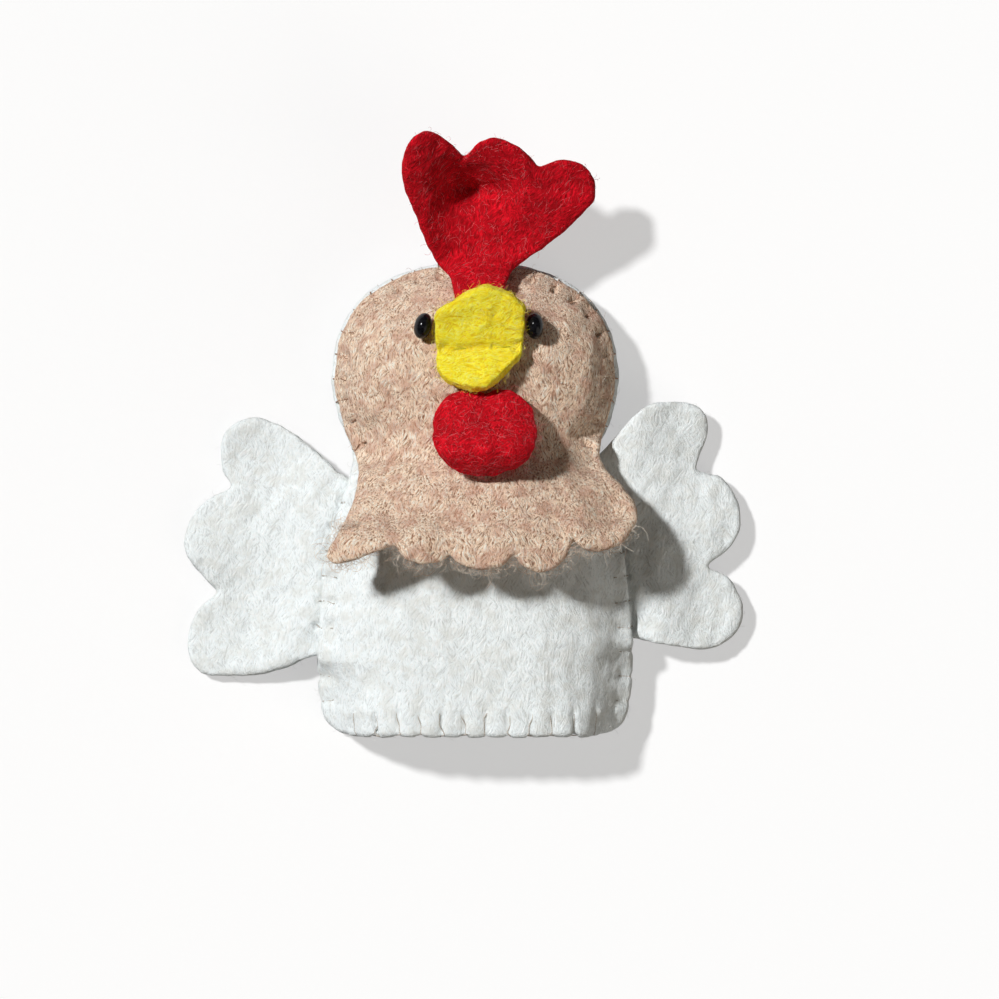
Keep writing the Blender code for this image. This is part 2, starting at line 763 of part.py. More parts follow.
def bead(name, x, y, turn, look, parts):
    """A glass seed bead on its side: a turned barrel with a hole along it, laid on the face."""
    half, radius, hole = BEAD_LENGTH / 2, BEAD_RADIUS, BEAD_HOLE
    profile = [
        (hole, half * 0.7),
        (hole + 0.35 * MM, half),
        (radius * 0.72, half * 0.93),
        (radius * 0.94, half * 0.62),
        (radius, 0.0),
        (radius * 0.94, -half * 0.62),
        (radius * 0.72, -half * 0.93),
        (hole + 0.35 * MM, -half),
        (hole, -half * 0.7),
    ]
    mesh = bpy.data.meshes.new(name)
    count = len(profile)
    edges = [(k, (k + 1) % count) for k in range(count)]
    mesh.from_pydata([(r, 0.0, z) for r, z in profile], edges, [])
    made = collected(name, mesh, parts)
    screw = made.modifiers.new("turned", "SCREW")
    screw.axis = "Z"
    screw.steps = 20
    screw.render_steps = 20
    screw.use_merge_vertices = True
    screw.merge_threshold = 0.01 * MM
    made.rotation_euler = (0.0, math.radians(90), turn)
    made.location = (x, y, bead_height(x, y))
    mesh.materials.append(look)
    mesh.shade_smooth()
    return made


def bead_height(x, y):
    return face_upper(x, y) + LAYER_GAP + BEAD_RADIUS


def bead_ends(x, y, turn):
    """Where the eye thread dives into the felt, on either side of a bead."""
    reach = BEAD_LENGTH / 2 + THREAD_RADIUS + THREAD_CLEARANCE
    dx, dy = reach * math.cos(turn), reach * math.sin(turn)
    return (x - dx, y - dy), (x + dx, y + dy)


def eye_path(beads):
    """One thread sews both eyes: through each bead, and behind the front panel from one to the other."""
    off = THREAD_RADIUS + THREAD_CLEARANCE
    back = 1.4 * MM
    path = []
    for x, y, turn in beads:
        for k, (hx, hy) in enumerate(bead_ends(x, y, turn)):
            down = (hx, hy, front_lower(hx, hy) - off)
            through = (hx, hy, bead_height(x, y))
            path += [down, through] if k == 0 else [through, down]
    last, first = path[-1], path[0]
    path.append((last[0], last[1] - back, last[2]))
    path.append((first[0], first[1] - back, first[2]))
    return path


def beak_path(holes, top):
    """Three tacks in a row along the fold, worked as one thread."""
    off = THREAD_RADIUS + THREAD_CLEARANCE
    path = []
    for k, (x, y) in enumerate(holes):
        down, up = (x, y, front_lower(x, y) - off), (x, y, top + off)
        path += [down, up] if k % 2 == 0 else [up, down]
    back = 1.4 * MM
    last, first = path[-1], path[0]
    path.append((last[0], last[1] - back, last[2]))
    path.append((first[0], first[1] - back, first[2]))
    return path


def build():
    for old in list(bpy.data.objects):
        bpy.data.objects.remove(old)
    scene = bpy.context.scene.collection
    parts = bpy.data.collections.new("hen_finger_puppet")
    cutters = bpy.data.collections.new("patterns")
    for made in (parts, cutters):
        scene.children.link(made)

    white = material("white_felt", WHITE, 0.95)
    tan = material("tan_felt", TAN, 0.95)
    red = material("red_felt", RED, 0.9)
    yellow = material("yellow_felt", YELLOW, 0.9)
    glass = material("black_glass", BLACK, 0.08)
    thread_white = material("white_thread", THREAD_WHITE, 0.6)
    thread_tan = material("tan_thread", TAN, 0.6)
    thread_red = material("red_thread", RED, 0.6)
    thread_yellow = material("yellow_thread", YELLOW, 0.6)
    thread_black = material("black_thread", BLACK, 0.6)

    wing_lines = {side: smooth_outline(wing_points(side)) for side in (-1, 1)}
    side_runs = {}
    for side in (-1, 1):
        run = stations(side_run(HEM_Y + HEM_CORNER, NECK_Y - MM, side), SEAM_PITCH)
        side_runs[side] = clear_of_edge(run, wing_lines[side], SEAM_INSET)
    head_stitches = stations(head_run(), SEAM_PITCH)
    hem_half = HEM_WIDTH / 2 - HEM_CORNER
    hem_line = [Vector((-hem_half, HEM_Y)), Vector((hem_half, HEM_Y))]
    hem_stitches = stations(hem_line, HEM_PITCH)

    head_holes = hole_places(head_stitches, SEAM_INSET)
    side_holes = [p for side in (-1, 1) for p in hole_places(side_runs[side], SEAM_INSET)]
    hem_holes = hole_places(hem_stitches, HEM_INSET)

    aside = BEAK_WIDTH / 2 + BEAD_CLEARANCE
    beads = [
        (BEAK_X - aside - 0.3 * MM, BEAD_Y, LEFT_BEAD_TURN),
        (BEAK_X + aside - 0.3 * MM, BEAD_Y, RIGHT_BEAD_TURN),
    ]
    bead_holes = [end for place in beads for end in bead_ends(*place)]
    along = [k * TACK_WIDTH for k in (-1.5, -0.5, 0.5, 1.5)]
    crease_holes = [
        (BEAK_X + u * math.cos(BEAK_TILT), BEAK_Y + u * math.sin(BEAK_TILT)) for u in along
    ]
    comb_tack = (0.2 * MM, BEAK_Y + COMB_TUCK + 1.7 * MM)
    wattle_tack = (WATTLE_X, WATTLE_Y)
    tack_holes = [
        (x + k * TACK_WIDTH / 2, y) for x, y in (comb_tack, wattle_tack) for k in (-1, 1)
    ]
    face_holes = [*bead_holes, *crease_holes, *tack_holes]

    back = cut_felt(
        "back_panel", PANEL_LINE, holes_for([*head_holes, *side_holes, *hem_holes]),
        WHITE_FELT, parts, cutters,
    )
    lay(back, WHITE_FELT, back_lower, back_upper)
    front = cut_felt(
        "front_panel", PANEL_LINE,
        holes_for([*head_holes, *side_holes, *hem_holes, *face_holes]),
        WHITE_FELT, parts, cutters,
    )
    lay(front, WHITE_FELT, front_lower, front_upper)
    face = cut_felt(
        "face_and_collar", smooth_outline(face_points()), holes_for([*head_holes, *face_holes]),
        TAN_FELT, parts, cutters,
    )
    lay(face, TAN_FELT, face_lower, face_upper)
    for piece in (back, front):
        finish(piece, white)
    finish(face, tan)

    for side, name in ((-1, "left_wing"), (1, "right_wing")):
        line = wing_lines[side]
        run = side_runs[side]
        caught = [p for p in hole_places(run, SEAM_INSET) + edge_places(run) if inside(line, p.x, p.y)]
        wing = cut_felt(name, line, holes_for(caught), WHITE_FELT, parts, cutters)
        lay(wing, WHITE_FELT, wing_lower, wing_upper)
        finish(wing, white)

    comb_holes = [(comb_tack[0] + k * TACK_WIDTH / 2, comb_tack[1]) for k in (-1, 1)]
    comb = cut_felt(
        "comb", smooth_outline(comb_points()), holes_for(comb_holes), COMB_FELT, parts, cutters
    )
    lay(comb, COMB_FELT, comb_lower, comb_upper)
    finish(comb, red)

    beak = cut_felt(
        "beak", smooth_outline(beak_points(), 3),
        holes_for([(u, 0.0) for u in along], CREASE_HOLE),
        BEAK_FELT, parts, cutters, BEAK_FOLD_RADIUS * 0.52,
    )
    beak_middle = face_upper(BEAK_X, BEAK_Y) + LAYER_GAP + BEAK_FELT / 2
    place = (BEAK_X, BEAK_Y, beak_middle)
    fold(beak, place, BEAK_TILT, BEAK_FOLD_RADIUS, BEAK_LOWER_ANGLE, BEAK_UPPER_ANGLE)
    finish(beak, yellow)

    wattle = cut_felt(
        "wattle", smooth_outline(wattle_points()),
        holes_for([(k * TACK_WIDTH / 2, 0.0) for k in (-1, 1)]),
        WATTLE_FELT, parts, cutters, WATTLE_BEND_RADIUS / 5,
    )
    wattle_middle = face_upper(*wattle_tack) + LAYER_GAP + WATTLE_FELT / 2
    fold(wattle, (*wattle_tack, wattle_middle), 0.0, WATTLE_BEND_RADIUS, WATTLE_ANGLE, 0.0)
    finish(wattle, red)

    for place, name in zip(beads, ("left_eye_bead", "right_eye_bead")):
        bead(name, *place, glass, parts)

    thread("head_seam_thread", whip_path(head_stitches, SEAM_INSET, back_lower, face_upper),
           False, thread_tan, parts)
    for side, name in ((-1, "left_seam_thread"), (1, "right_seam_thread")):
        thread(name, whip_path(side_runs[side], SEAM_INSET, back_lower, front_upper),
               False, thread_white, parts)
    thread("front_hem_thread", whip_path(hem_stitches, HEM_INSET, front_lower, front_upper),
           False, thread_white, parts)
    thread("back_hem_thread", whip_path(hem_stitches, HEM_INSET, back_lower, back_upper),
           False, thread_white, parts)
    thread("comb_thread", tack_path(*comb_tack, comb_upper(*comb_tack)), True, thread_red, parts)
    thread("wattle_thread", tack_path(*wattle_tack, wattle_middle + WATTLE_FELT / 2),
           True, thread_red, parts)
    thread("beak_thread", beak_path(crease_holes, beak_middle + BEAK_FELT / 2),
           True, thread_yellow, parts)
    thread("eye_thread", eye_path(beads), True, thread_black, parts)


build()
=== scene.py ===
"""Felt hen finger puppet: the looks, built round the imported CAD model.

Each piece of felt starts as a copy of its CAD solid. It is given a fine, even skin, soft cut
edges, lumps, and the dents that its stitches pull, and then a coat of loose wool fibres. The
threads are laid along the CAD threads' paths, down onto the finished felt.
"""

import json
import math
import random
from functools import partialmethod

import bmesh
import bpy
import numpy as np
from bpy.props import FloatProperty, FloatVectorProperty, PointerProperty
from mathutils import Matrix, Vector, noise
from mathutils.bvhtree import BVHTree
from mathutils.kdtree import KDTree

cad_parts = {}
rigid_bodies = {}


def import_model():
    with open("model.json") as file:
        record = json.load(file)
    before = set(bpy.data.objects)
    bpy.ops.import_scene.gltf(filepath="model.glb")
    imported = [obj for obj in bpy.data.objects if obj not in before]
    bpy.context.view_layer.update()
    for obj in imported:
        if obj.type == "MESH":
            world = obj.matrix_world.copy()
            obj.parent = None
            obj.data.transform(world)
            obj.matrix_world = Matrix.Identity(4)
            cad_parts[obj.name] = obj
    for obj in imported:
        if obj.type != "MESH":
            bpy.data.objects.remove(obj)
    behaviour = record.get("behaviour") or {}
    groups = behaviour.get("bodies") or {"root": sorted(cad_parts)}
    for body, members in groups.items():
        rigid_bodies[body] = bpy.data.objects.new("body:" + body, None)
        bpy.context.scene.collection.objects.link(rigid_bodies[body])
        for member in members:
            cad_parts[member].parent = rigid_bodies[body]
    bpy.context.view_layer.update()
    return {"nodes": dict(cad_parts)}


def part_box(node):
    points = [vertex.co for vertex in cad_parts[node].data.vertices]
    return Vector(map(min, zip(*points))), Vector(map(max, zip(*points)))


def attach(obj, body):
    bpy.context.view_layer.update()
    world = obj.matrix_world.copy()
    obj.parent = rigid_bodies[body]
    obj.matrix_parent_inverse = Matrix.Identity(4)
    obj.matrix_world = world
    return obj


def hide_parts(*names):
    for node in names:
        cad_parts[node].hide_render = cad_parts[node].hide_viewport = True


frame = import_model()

bl_info = {
    "name": "Felt Hen Finger Puppet",
    "version": (1, 0, 0),
    "blender": (4, 5, 0),
    "location": "3D View > Sidebar > Felt Hen",
    "description": "Builds a hand-sewn felt hen finger puppet round its CAD frame",
    "category": "Object",
}

MM = 0.001
PICTURE_CENTRE = Vector((3.675 * MM, -9.525 * MM, 12.0 * MM))
PICTURE_WIDTH = 149.85 * MM
SENSOR_WIDTH = 36.0
UPRIGHT = math.radians(84)
WHIP_SEAMS = ("head_seam", "left_seam", "right_seam", "front_hem", "back_hem")
WHIP_THREADS = [seam + "_thread" for seam in WHIP_SEAMS]
TACK_THREADS = {
    "comb_thread": "red", "wattle_thread": "red", "beak_thread": "yellow", "eye_thread": "black"
}

# The ends of the line up the puppet's middle that its whip stitches point away from
SPINE = (-35.0 * MM, 8.0 * MM)
# Cut edges have normals that rise less than this
WALL = 0.3
# How far thread reaches for felt
FELT_REACH = 2.2 * MM
# What smoothing takes off a cut edge
EDGE_LOSS = 0.16 * MM
# Lowest heights above the table
FELT_FLOOR, FIBRE_FLOOR = 0.02 * MM, 0.05 * MM
# Noises for the surface, each a share of the height and a size in mm
LUMPS = ((0.4, 9.0), (1.0, 3.4), (0.7, 1.5))
BEAK_LUMPS = ((0.6, 5.0), (1.0, 2.6), (0.6, 1.2))
RIPPLES = ((1.2, 5.0), (0.8, 2.6), (0.45, 1.3))

# Node, slot, lying fibres, their length in mm, if combed upright, loose fibres and their length
COATS = (
    ("front_panel", "white_felt", 4200, 1.7, True, 120, 0.7),
    ("back_panel", "white_felt", 2200, 1.9, False, 120, 0.7),
    ("left_wing", "white_felt", 2600, 1.7, False, 70, 0.6),
    ("right_wing", "white_felt", 2200, 1.7, False, 70, 0.6),
    ("face_and_collar", "tan_felt", 9500, 1.6, True, 420, 0.8),
    ("comb", "red_felt", 2000, 1.9, True, 90, 0.8),
    ("wattle", "red_felt", 800, 2.0, False, 260, 1.2),
    ("beak", "yellow_felt", 1500, 1.3, False, 260, 0.8),
)


# Settings


def colour(name, default, description):
    return FloatVectorProperty(
        name=name, description=description, default=default, size=3, min=0, max=1, subtype="COLOR"
    )


def length(name, default, description):
    return FloatProperty(name=name, description=description, default=default, min=0, unit="LENGTH")


def angle(name, degrees, description):
    default = math.radians(degrees)
    return FloatProperty(name=name, description=description, default=default, subtype="ANGLE")


class FeltColours(bpy.types.PropertyGroup):
    white: colour("White felt", (0.90, 0.96, 0.97), "Panels and wings")
    tan: colour("Tan felt", (0.95, 0.71, 0.52), "Face and collar")
    red: colour("Red felt", (0.60, 0.003, 0.012), "Comb and wattle")
    yellow: colour("Yellow felt", (0.98, 0.87, 0.035), "Beak")
    bead: colour("Eye glass", (0.004, 0.004, 0.005), "Beads")
    floor: colour("Floor", (0.5, 0.5, 0.5), "Table top")


class FeltSizes(bpy.types.PropertyGroup):
    skin: length("Skin cell", 0.42 * MM, "Size of the felt mesh's faces")
    fine_skin: length("Fine skin cell", 0.3 * MM, "Face size on the small pieces")
    lump: length("Lump height", 0.16 * MM, "How far the felt's surface swells")
    press: length("Stitch dent", 0.8 * MM, "How deep a stitch pulls into the felt")
    press_width: length("Stitch dent width", 0.42 * MM, "Half the width of a stitch's dent")
    puff: length("Puff height", 0.2 * MM, "How far felt swells between two stitches")


class ThreadSizes(bpy.types.PropertyGroup):
    radius: length("Thread radius", 0.1 * MM, "Sewing thread")
    fibre_radius: length("Fibre radius", 0.02 * MM, "Loose wool fibre")


class StageSettings(bpy.types.PropertyGroup):
    key: FloatProperty(name="Key light", description="Sun strength", default=3.4, min=0)
    fill: FloatProperty(name="Fill light", description="World strength", default=0.045, min=0)
    elevation: angle("Key height", 50, "Above the table")
    bearing: angle("Key bearing", 145, "From +X, turning left")
    softness: angle("Key softness", 5, "Its width in the sky")
    side: FloatProperty(
        name="Side light", description="The weak, wide sun from the right", default=0.68, min=0
    )
    side_elevation: angle("Side light's height", 24, "Above the table")
    side_softness: angle("Side light's softness", 50, "Its width in the sky")
    distance: length("Camera height", 1.3, "Above the puppet's middle")


# Shader maths


class Value:
    """A shader socket. Python's operators on it add Math nodes."""

    def __init__(self, shader, socket):
        self.shader = shader
        self.socket = socket

    def maths(self, operation, *others):
        inputs = dict(enumerate((self, *others)))
        return self.shader.node("ShaderNodeMath", {"operation": operation}, inputs)

    __add__ = partialmethod(maths, "ADD")
    __sub__ = partialmethod(maths, "SUBTRACT")
    __mul__ = partialmethod(maths, "MULTIPLY")
    __pow__ = partialmethod(maths, "POWER")
    highest = partialmethod(maths, "MAXIMUM")

    def between(self, low, high):
        """0 below low, 1 above high, and a smooth rise between them."""
        settings = {"interpolation_type": "SMOOTHSTEP"}
        return self.shader.node("ShaderNodeMapRange", settings, {0: self, 1: low, 2: high})


class Shader:
    """A material that is built by calls."""

    def __init__(self, name):
        self.material = bpy.data.materials.new(name)
        if self.material.name != name:
            raise RuntimeError(f"another material is called {name}")
        self.material.use_nodes = True
        self.tree = self.material.node_tree
        self.tree.nodes.clear()

    def node(self, kind, settings=None, inputs=None, output=0):
        made = self.tree.nodes.new(kind)
        for key, value in (settings or {}).items():
            setattr(made, key, value)
        for key, value in (inputs or {}).items():
            if isinstance(value, Value):
                self.tree.links.new(value.socket, made.inputs[key])
            else:
                made.inputs[key].default_value = value
        return Value(self, made.outputs[output])

    def places(self):
        return self.node("ShaderNodeTexCoord", output="Object")

    def noise(self, places, scale, detail=2.0, roughness=0.5):
        inputs = {"Vector": places, "Scale": scale, "Detail": detail, "Roughness": roughness}
        return self.node("ShaderNodeTexNoise", None, inputs)

    def mix(self, share, low, high):
        low, high = ((*c, 1.0) if isinstance(c, (tuple, list)) else c for c in (low, high))
        return self.node("ShaderNodeMix", {"data_type": "RGBA"}, {0: share, 6: low, 7: high}, 2)

    def vectors(self, operation, inputs):
        return self.node("ShaderNodeVectorMath", {"operation": operation}, inputs)

    def warped(self, places, scale, amount):
        """The places pushed about by a noise, so that straight patterns wander."""
        inputs = {"Vector": places, "Scale": scale, "Detail": 1.0}
        swirl = self.node("ShaderNodeTexNoise", None, inputs, 1)
        centred = self.vectors("SUBTRACT", {0: swirl, 1: (0.5, 0.5, 0.5)})
        pushed = self.vectors("SCALE", {0: centred, "Scale": amount})
        return self.vectors("ADD", {0: places, 1: pushed})

    def strokes(self, places, angle, long, wide):
        """Noise drawn out along one direction, as felted fibres lie."""
        settings = {"vector_type": "TEXTURE"}
        inputs = {"Vector": places, "Rotation": (0.0, 0.0, angle), "Scale": (long, wide, wide)}
        turned = self.node("ShaderNodeMapping", settings, inputs)
        return self.noise(turned, 1.0, 4.0, 0.66)

    def finish(self, base, roughness, height=None, bump=0.0, bump_depth=0.0, **constants):
        inputs = {"Base Color": base, "Roughness": roughness, **constants}
        if height is not None:
            inputs["Normal"] = self.node(
                "ShaderNodeBump", None, {"Strength": bump, "Distance": bump_depth, "Height": height}
            )
        surface = self.node("ShaderNodeBsdfPrincipled", None, inputs)
        out = self.tree.nodes.new("ShaderNodeOutputMaterial")
        self.tree.links.new(surface.socket, out.inputs["Surface"])
        return self.material


def shade(tint, factor):
    return tuple(min(1.0, c * factor) for c in tint)


def felt_material(name, shades, lie, fleck, mottle, relief, sheen=0.0):
    """Matted wool: short combed strokes that change direction from patch to patch.

    shades are the dark, middle and light tones, and lie is the direction that most fibres take.
    fleck and mottle are each a colour and its share: of single stray fibres, and of soft patches.
    """
    dark, tint, light = shades
    shader = Shader(name)
    places = shader.places()
    wander = shader.warped(places, 400.0, 0.75 * MM)
    main = shader.strokes(wander, lie, 1.7 * MM, 0.27 * MM)
    left = shader.strokes(wander, lie + 0.55, 1.4 * MM, 0.24 * MM)
    right = shader.strokes(wander, lie - 0.5, 1.5 * MM, 0.25 * MM)
    turn_left = shader.noise(places, 520.0, 1.0).between(0.47, 0.56)
    turn_right = shader.noise(wander, 610.0, 1.0).between(0.50, 0.58)
    tone = main + (left - main) * turn_left
    tone = tone + (right - tone) * turn_right
    ground = shader.mix(tone.between(0.37, 0.50), dark, tint)
    ground = shader.mix(tone.between(0.50, 0.63), ground, light)
    patches = shader.noise(wander, 420.0, 4.0, 0.65).between(0.44, 0.66)
    ground = shader.mix(patches * mottle[1], ground, mottle[0])
    pale = shader.strokes(wander, lie - 0.3, 2.3 * MM, 0.13 * MM).between(0.62, 0.70)
    ground = shader.mix(pale * 0.6, ground, light)
    strays = shader.strokes(wander, lie + 0.25, 2.1 * MM, 0.13 * MM).between(0.62, 0.70)
    ground = shader.mix(strays * fleck[1], ground, fleck[0])
    grain = shader.noise(places, 4200.0, 1.0)
    height = tone * 1.4 + grain * 0.25 + patches * 0.2 + strays * 0.12
    constants = {"Sheen Weight": sheen, "Sheen Roughness": 0.6, "Specular IOR Level": 0.15}
    return shader.finish(ground, 0.94, height, 1.0, relief, **constants)


def fibre_material(name, low, high):
    """Single wool fibres, each of its own tone."""
    shader = Shader(name)
    tone = shader.node("ShaderNodeAttribute", {"attribute_name": "tone"}, output="Fac")
    places = shader.places()
    drift = shader.noise(places, 900.0, 1.0)
    base = shader.mix((tone * 0.85 + drift * 0.3) ** 2.0, low, high)
    return shader.finish(base, 0.8, drift, 0.2, 0.01 * MM, **{"Specular IOR Level": 0.2})


def thread_material(name, tint):
    """Spun sewing thread: a fine slanting twist, painted darker in its grooves as shade."""
    shader = Shader(name)
    places = shader.places()
    slant = {"Vector": places, "Rotation": (0.3, 0.4, 0.8)}
    turned = shader.node("ShaderNodeMapping", None, slant)
    waves = {"Vector": turned, "Scale": 1500.0, "Distortion": 1.5, "Detail": 1.0}
    twist = shader.node("ShaderNodeTexWave", None, waves, 1)
    fuzz = shader.noise(places, 6000.0, 2.0)
    # Painted shade: the thread's colour darkens where the twist is low, in its grooves
    base = shader.mix(twist * 0.7 + fuzz * 0.3, shade(tint, 0.66), shade(tint, 1.06))
    height = twist + fuzz * 0.5
    return shader.finish(base, 0.8, height, 0.6, 0.05 * MM, **{"Specular IOR Level": 0.2})


def glass_material(name, tint):
    """Opaque black glass with faint mould marks."""
    shader = Shader(name)
    places = shader.places()
    marks = shader.noise(places, 2500.0, 2.0)
    base = shader.mix(marks.between(0.4, 0.7), tint, shade(tint, 2.5))
    rough = marks.between(0.3, 0.8) * 0.05 + 0.14
    return shader.finish(base, rough, marks, 0.05, 0.02 * MM, **{"Specular IOR Level": 0.16})


def floor_material(name, tint):
    """A matt table top, near white to the eye and in reflections, that throws up little light."""
    shader = Shader(name)
    seen = shader.node("ShaderNodeLightPath", output="Is Camera Ray")
    for kind in ("Is Glossy Ray", "Is Transmission Ray"):
        seen = seen.highest(shader.node("ShaderNodeLightPath", output=kind))
    speckle = shader.noise(shader.places(), 900.0, 2.0)
    pale = shader.mix(speckle, shade(tint, 0.99), tint)
    base = shader.mix(seen, (0.25, 0.25, 0.25), pale)
    glow = shader.mix(seen, (0.0, 0.0, 0.0), (0.5, 0.5, 0.5))
    constants = {"Emission Strength": 1.0, "Specular IOR Level": 0.0}
    return shader.finish(base, 1.0, **{"Emission Color": glow, **constants})


# Modelling


def only(obj):
    """Leaves one object selected and active."""
    bpy.ops.object.select_all(action="DESELECT")
    obj.select_set(True)
    bpy.context.view_layer.objects.active = obj


def modified(piece, kind, **settings):
    """Adds a modifier and applies it."""
    modifier = piece.modifiers.new(kind.title(), kind)
    for key, value in settings.items():
        setattr(modifier, key, value)
    only(piece)
    bpy.ops.object.modifier_apply(modifier=modifier.name)


def tree_of(obj):
    faces = [face.vertices[:] for face in obj.data.polygons]
    return BVHTree.FromPolygons([vertex.co for vertex in obj.data.vertices], faces)


def spot(place):
    """A place in whole microns, so that corners at one spot count as one."""
    return tuple(round(c * 1e6) for c in place)


def path_of(node):
    """The corners of a CAD thread's path, in order, from the rings of its tube."""
    mesh = frame["nodes"][node].data
    ring_reach = 0.8 * MM
    centres, members, ring_of = [], [], {}
    for vertex in mesh.vertices:
        key = spot(vertex.co)
        if key in ring_of:
            continue
        for index, centre in enumerate(centres):
            if (vertex.co - centre).length < ring_reach:
                members[index].append(vertex.co.copy())
                break
        else:
            index = len(centres)
            centres.append(vertex.co.copy())
            members.append([vertex.co.copy()])
        ring_of[key] = index
    centres = [sum(ring, Vector()) / len(ring) for ring in members]
    joined = [set() for _ in centres]
    for face in mesh.polygons:
        rings = {ring_of[spot(mesh.vertices[v].co)] for v in face.vertices}
        for ring in rings:
            joined[ring] |= rings - {ring}
    ends = [index for index, near in enumerate(joined) if len(near) == 1]
    walk = [ends[0] if ends else 0]
    while True:
        ahead = [ring for ring in joined[walk[-1]] if ring not in walk]
        if not ahead:
            break
        walk.append(ahead[0])
    return [centres[index] for index in walk]


def stitches_of(node):
    """A whip seam's stitches, each as its corners: hole under, hole top, edge top, edge under."""
    path = path_of(node)
    groups = [path[k : k + 4] for k in range(0, len(path) - 3, 4)]

    def outward(point):
        return math.hypot(point.x, point.y - min(max(point.y, SPINE[0]), SPINE[1]))

    if outward(groups[0][0]) > outward(groups[0][2]):
        groups = [group[::-1] for group in groups]
    return groups


STITCHES = {node: stitches_of(node) for node in WHIP_THREADS}
TACKS = {node: path_of(node) for node in TACK_THREADS}


def beak_crease():
    """The line of the beak's fold, from one side to the other, in line with its stitches."""
    beak_height, reach = 17.0 * MM, 1.6 * MM
    tops = sorted((p for p in TACKS["beak_thread"] if p.z > beak_height), key=lambda p: p.x)
    along = (tops[-1] - tops[0]).normalized()
    return [tops[0] - along * reach, *tops, tops[-1] + along * reach]


BEAK_CREASE = beak_crease()


def needle_places():
    """Every place in plan where a thread runs straight through felt."""
    apart = 0.5 * MM
    points = [p for groups in STITCHES.values() for group in groups for p in group]
    points += [p for path in TACKS.values() for p in path]
    places = []
    for point in points:
        if all((point.xy - known).length > apart for known in places):
            places.append(point.xy.copy())
    return places


NEEDLE_PLACES = needle_places()


def plug(piece, tree):
    """Closes the CAD solid's needle holes, which real felt closes round the thread."""
    probes, probe_reach, far, radius = 6, 0.72 * MM, 50.0 * MM, 0.74 * MM
    thinnest, thickest = 1.0 * MM, 5.0 * MM
    bpy.ops.object.mode_set(mode="EDIT")
    for place in NEEDLE_PLACES:
        tops, bottoms = [], []
        for k in range(probes):
            turn = math.radians(360 / probes * k)
            x, y = place.x + probe_reach * math.cos(turn), place.y + probe_reach * math.sin(turn)
            for way, found in ((-1, tops), (1, bottoms)):
                hit = tree.ray_cast(Vector((x, y, -way * far)), Vector((0, 0, way)))[0]
                if hit:
                    found.append(hit.z)
        if len(tops) < probes:
            continue
        top, bottom = sum(tops) / probes, sum(bottoms) / probes
        if thinnest < top - bottom < thickest:
            middle = (*place, (top + bottom) / 2)
            bpy.ops.mesh.primitive_cylinder_add(
                vertices=10, radius=radius, depth=top - bottom, location=middle
            )
    bpy.ops.object.mode_set(mode="OBJECT")


def felt_copy(node, cell, smoothing):
    """A CAD solid's copy with a skin of small even faces, closed needle holes and soft edges."""
    source = frame["nodes"][node]
    piece = bpy.data.objects.new(node + "_felt", source.data.copy())
    piece.data.name = piece.name
    piece.data.materials.clear()
    bpy.context.scene.collection.objects.link(piece)
    only(piece)
    bpy.ops.object.mode_set(mode="EDIT")
    bpy.ops.mesh.select_all(action="SELECT")
    bpy.ops.mesh.remove_doubles(threshold=0.001 * MM)
    bpy.ops.object.mode_set(mode="OBJECT")
    plug(piece, tree_of(source))
    modified(piece, "REMESH", mode="VOXEL", voxel_size=cell, use_smooth_shade=True)
    modified(piece, "SMOOTH", factor=0.5, iterations=smoothing)
    return piece


def corners(piece):
    """The mesh's vertex places and normals as arrays."""
    count = len(piece.data.vertices)
    places, normals = np.empty(count * 3), np.empty(count * 3)
    piece.data.vertices.foreach_get("co", places)
    piece.data.vertex_normals.foreach_get("vector", normals)
    return places.reshape(-1, 3), normals.reshape(-1, 3)


def moved(piece, places):
    piece.data.vertices.foreach_set("co", places.ravel())
    piece.data.update()


def widen(piece, amount):
    """Gives back at the cut edges what smoothing took away."""
    places, normals = corners(piece)
    places[:, :2] += normals[:, :2] * amount
    moved(piece, places)


def lumpy(piece, height, seed, waves=LUMPS, along=0.0, stretch=1.0):
    """Swells and sinks the surface by noises.

    The lumps are drawn out by stretch along a direction in plan, as a limp wing's ripples are.
    """
    places, normals = corners(piece)
    flat = places.copy()
    flat[:, 0] = (places[:, 0] * math.cos(along) + places[:, 1] * math.sin(along)) / stretch
    flat[:, 1] = places[:, 1] * math.cos(along) - places[:, 0] * math.sin(along)
    swell = np.zeros(len(places))
    for share, size in waves:
        shift = Vector((seed * 17.0, seed * 5.0, size))
        swell += share * np.array([noise.noise(Vector(p) / (size * MM) + shift) for p in flat])
    moved(piece, places + normals * (swell * height)[:, None])


def cut_edge(node):
    """The outline of a flat CAD piece in plan, without the walls of its needle holes."""
    mesh = frame["nodes"][node].data
    hole_reach = 0.9 * MM
    walls = {v for face in mesh.polygons if abs(face.normal.z) < WALL for v in face.vertices}
    edge = [mesh.vertices[v].co.xy.to_3d() for v in sorted(walls)]
    edge = [p for p in edge if all((p.xy - hole).length > hole_reach for hole in NEEDLE_PLACES)]
    tree = KDTree(len(edge))
    for k, point in enumerate(edge):
        tree.insert(point, k)
    tree.balance()
    return tree


def ramp(value, start, end):
    """0 at the start, 1 at the end, and a smooth change between them."""
    share = min(max((value - start) / (end - start), 0.0), 1.0)
    return share * share * (3.0 - 2.0 * share)


def shifted(piece, rise):
    """Moves each corner up by rise(x, y), with both sides of the felt together."""
    places, _ = corners(piece)
    places[:, 2] += [rise(x, y) for x, y, _ in places]
    moved(piece, places)


def swells(*swellings):
    """A rise from ridges and dents: each two ends in plan, a height and half a width, in mm."""

    def rise(x, y):
        total = 0.0
        for start, end, height, width in swellings:
            run = Vector(end) - Vector(start)
            at = Vector((x, y)) / MM - Vector(start)
            share = min(max(at.dot(run) / run.length_squared, 0.0), 1.0)
            total += height * math.exp(-(((at - run * share).length / width) ** 2))
        return total * MM

    return rise


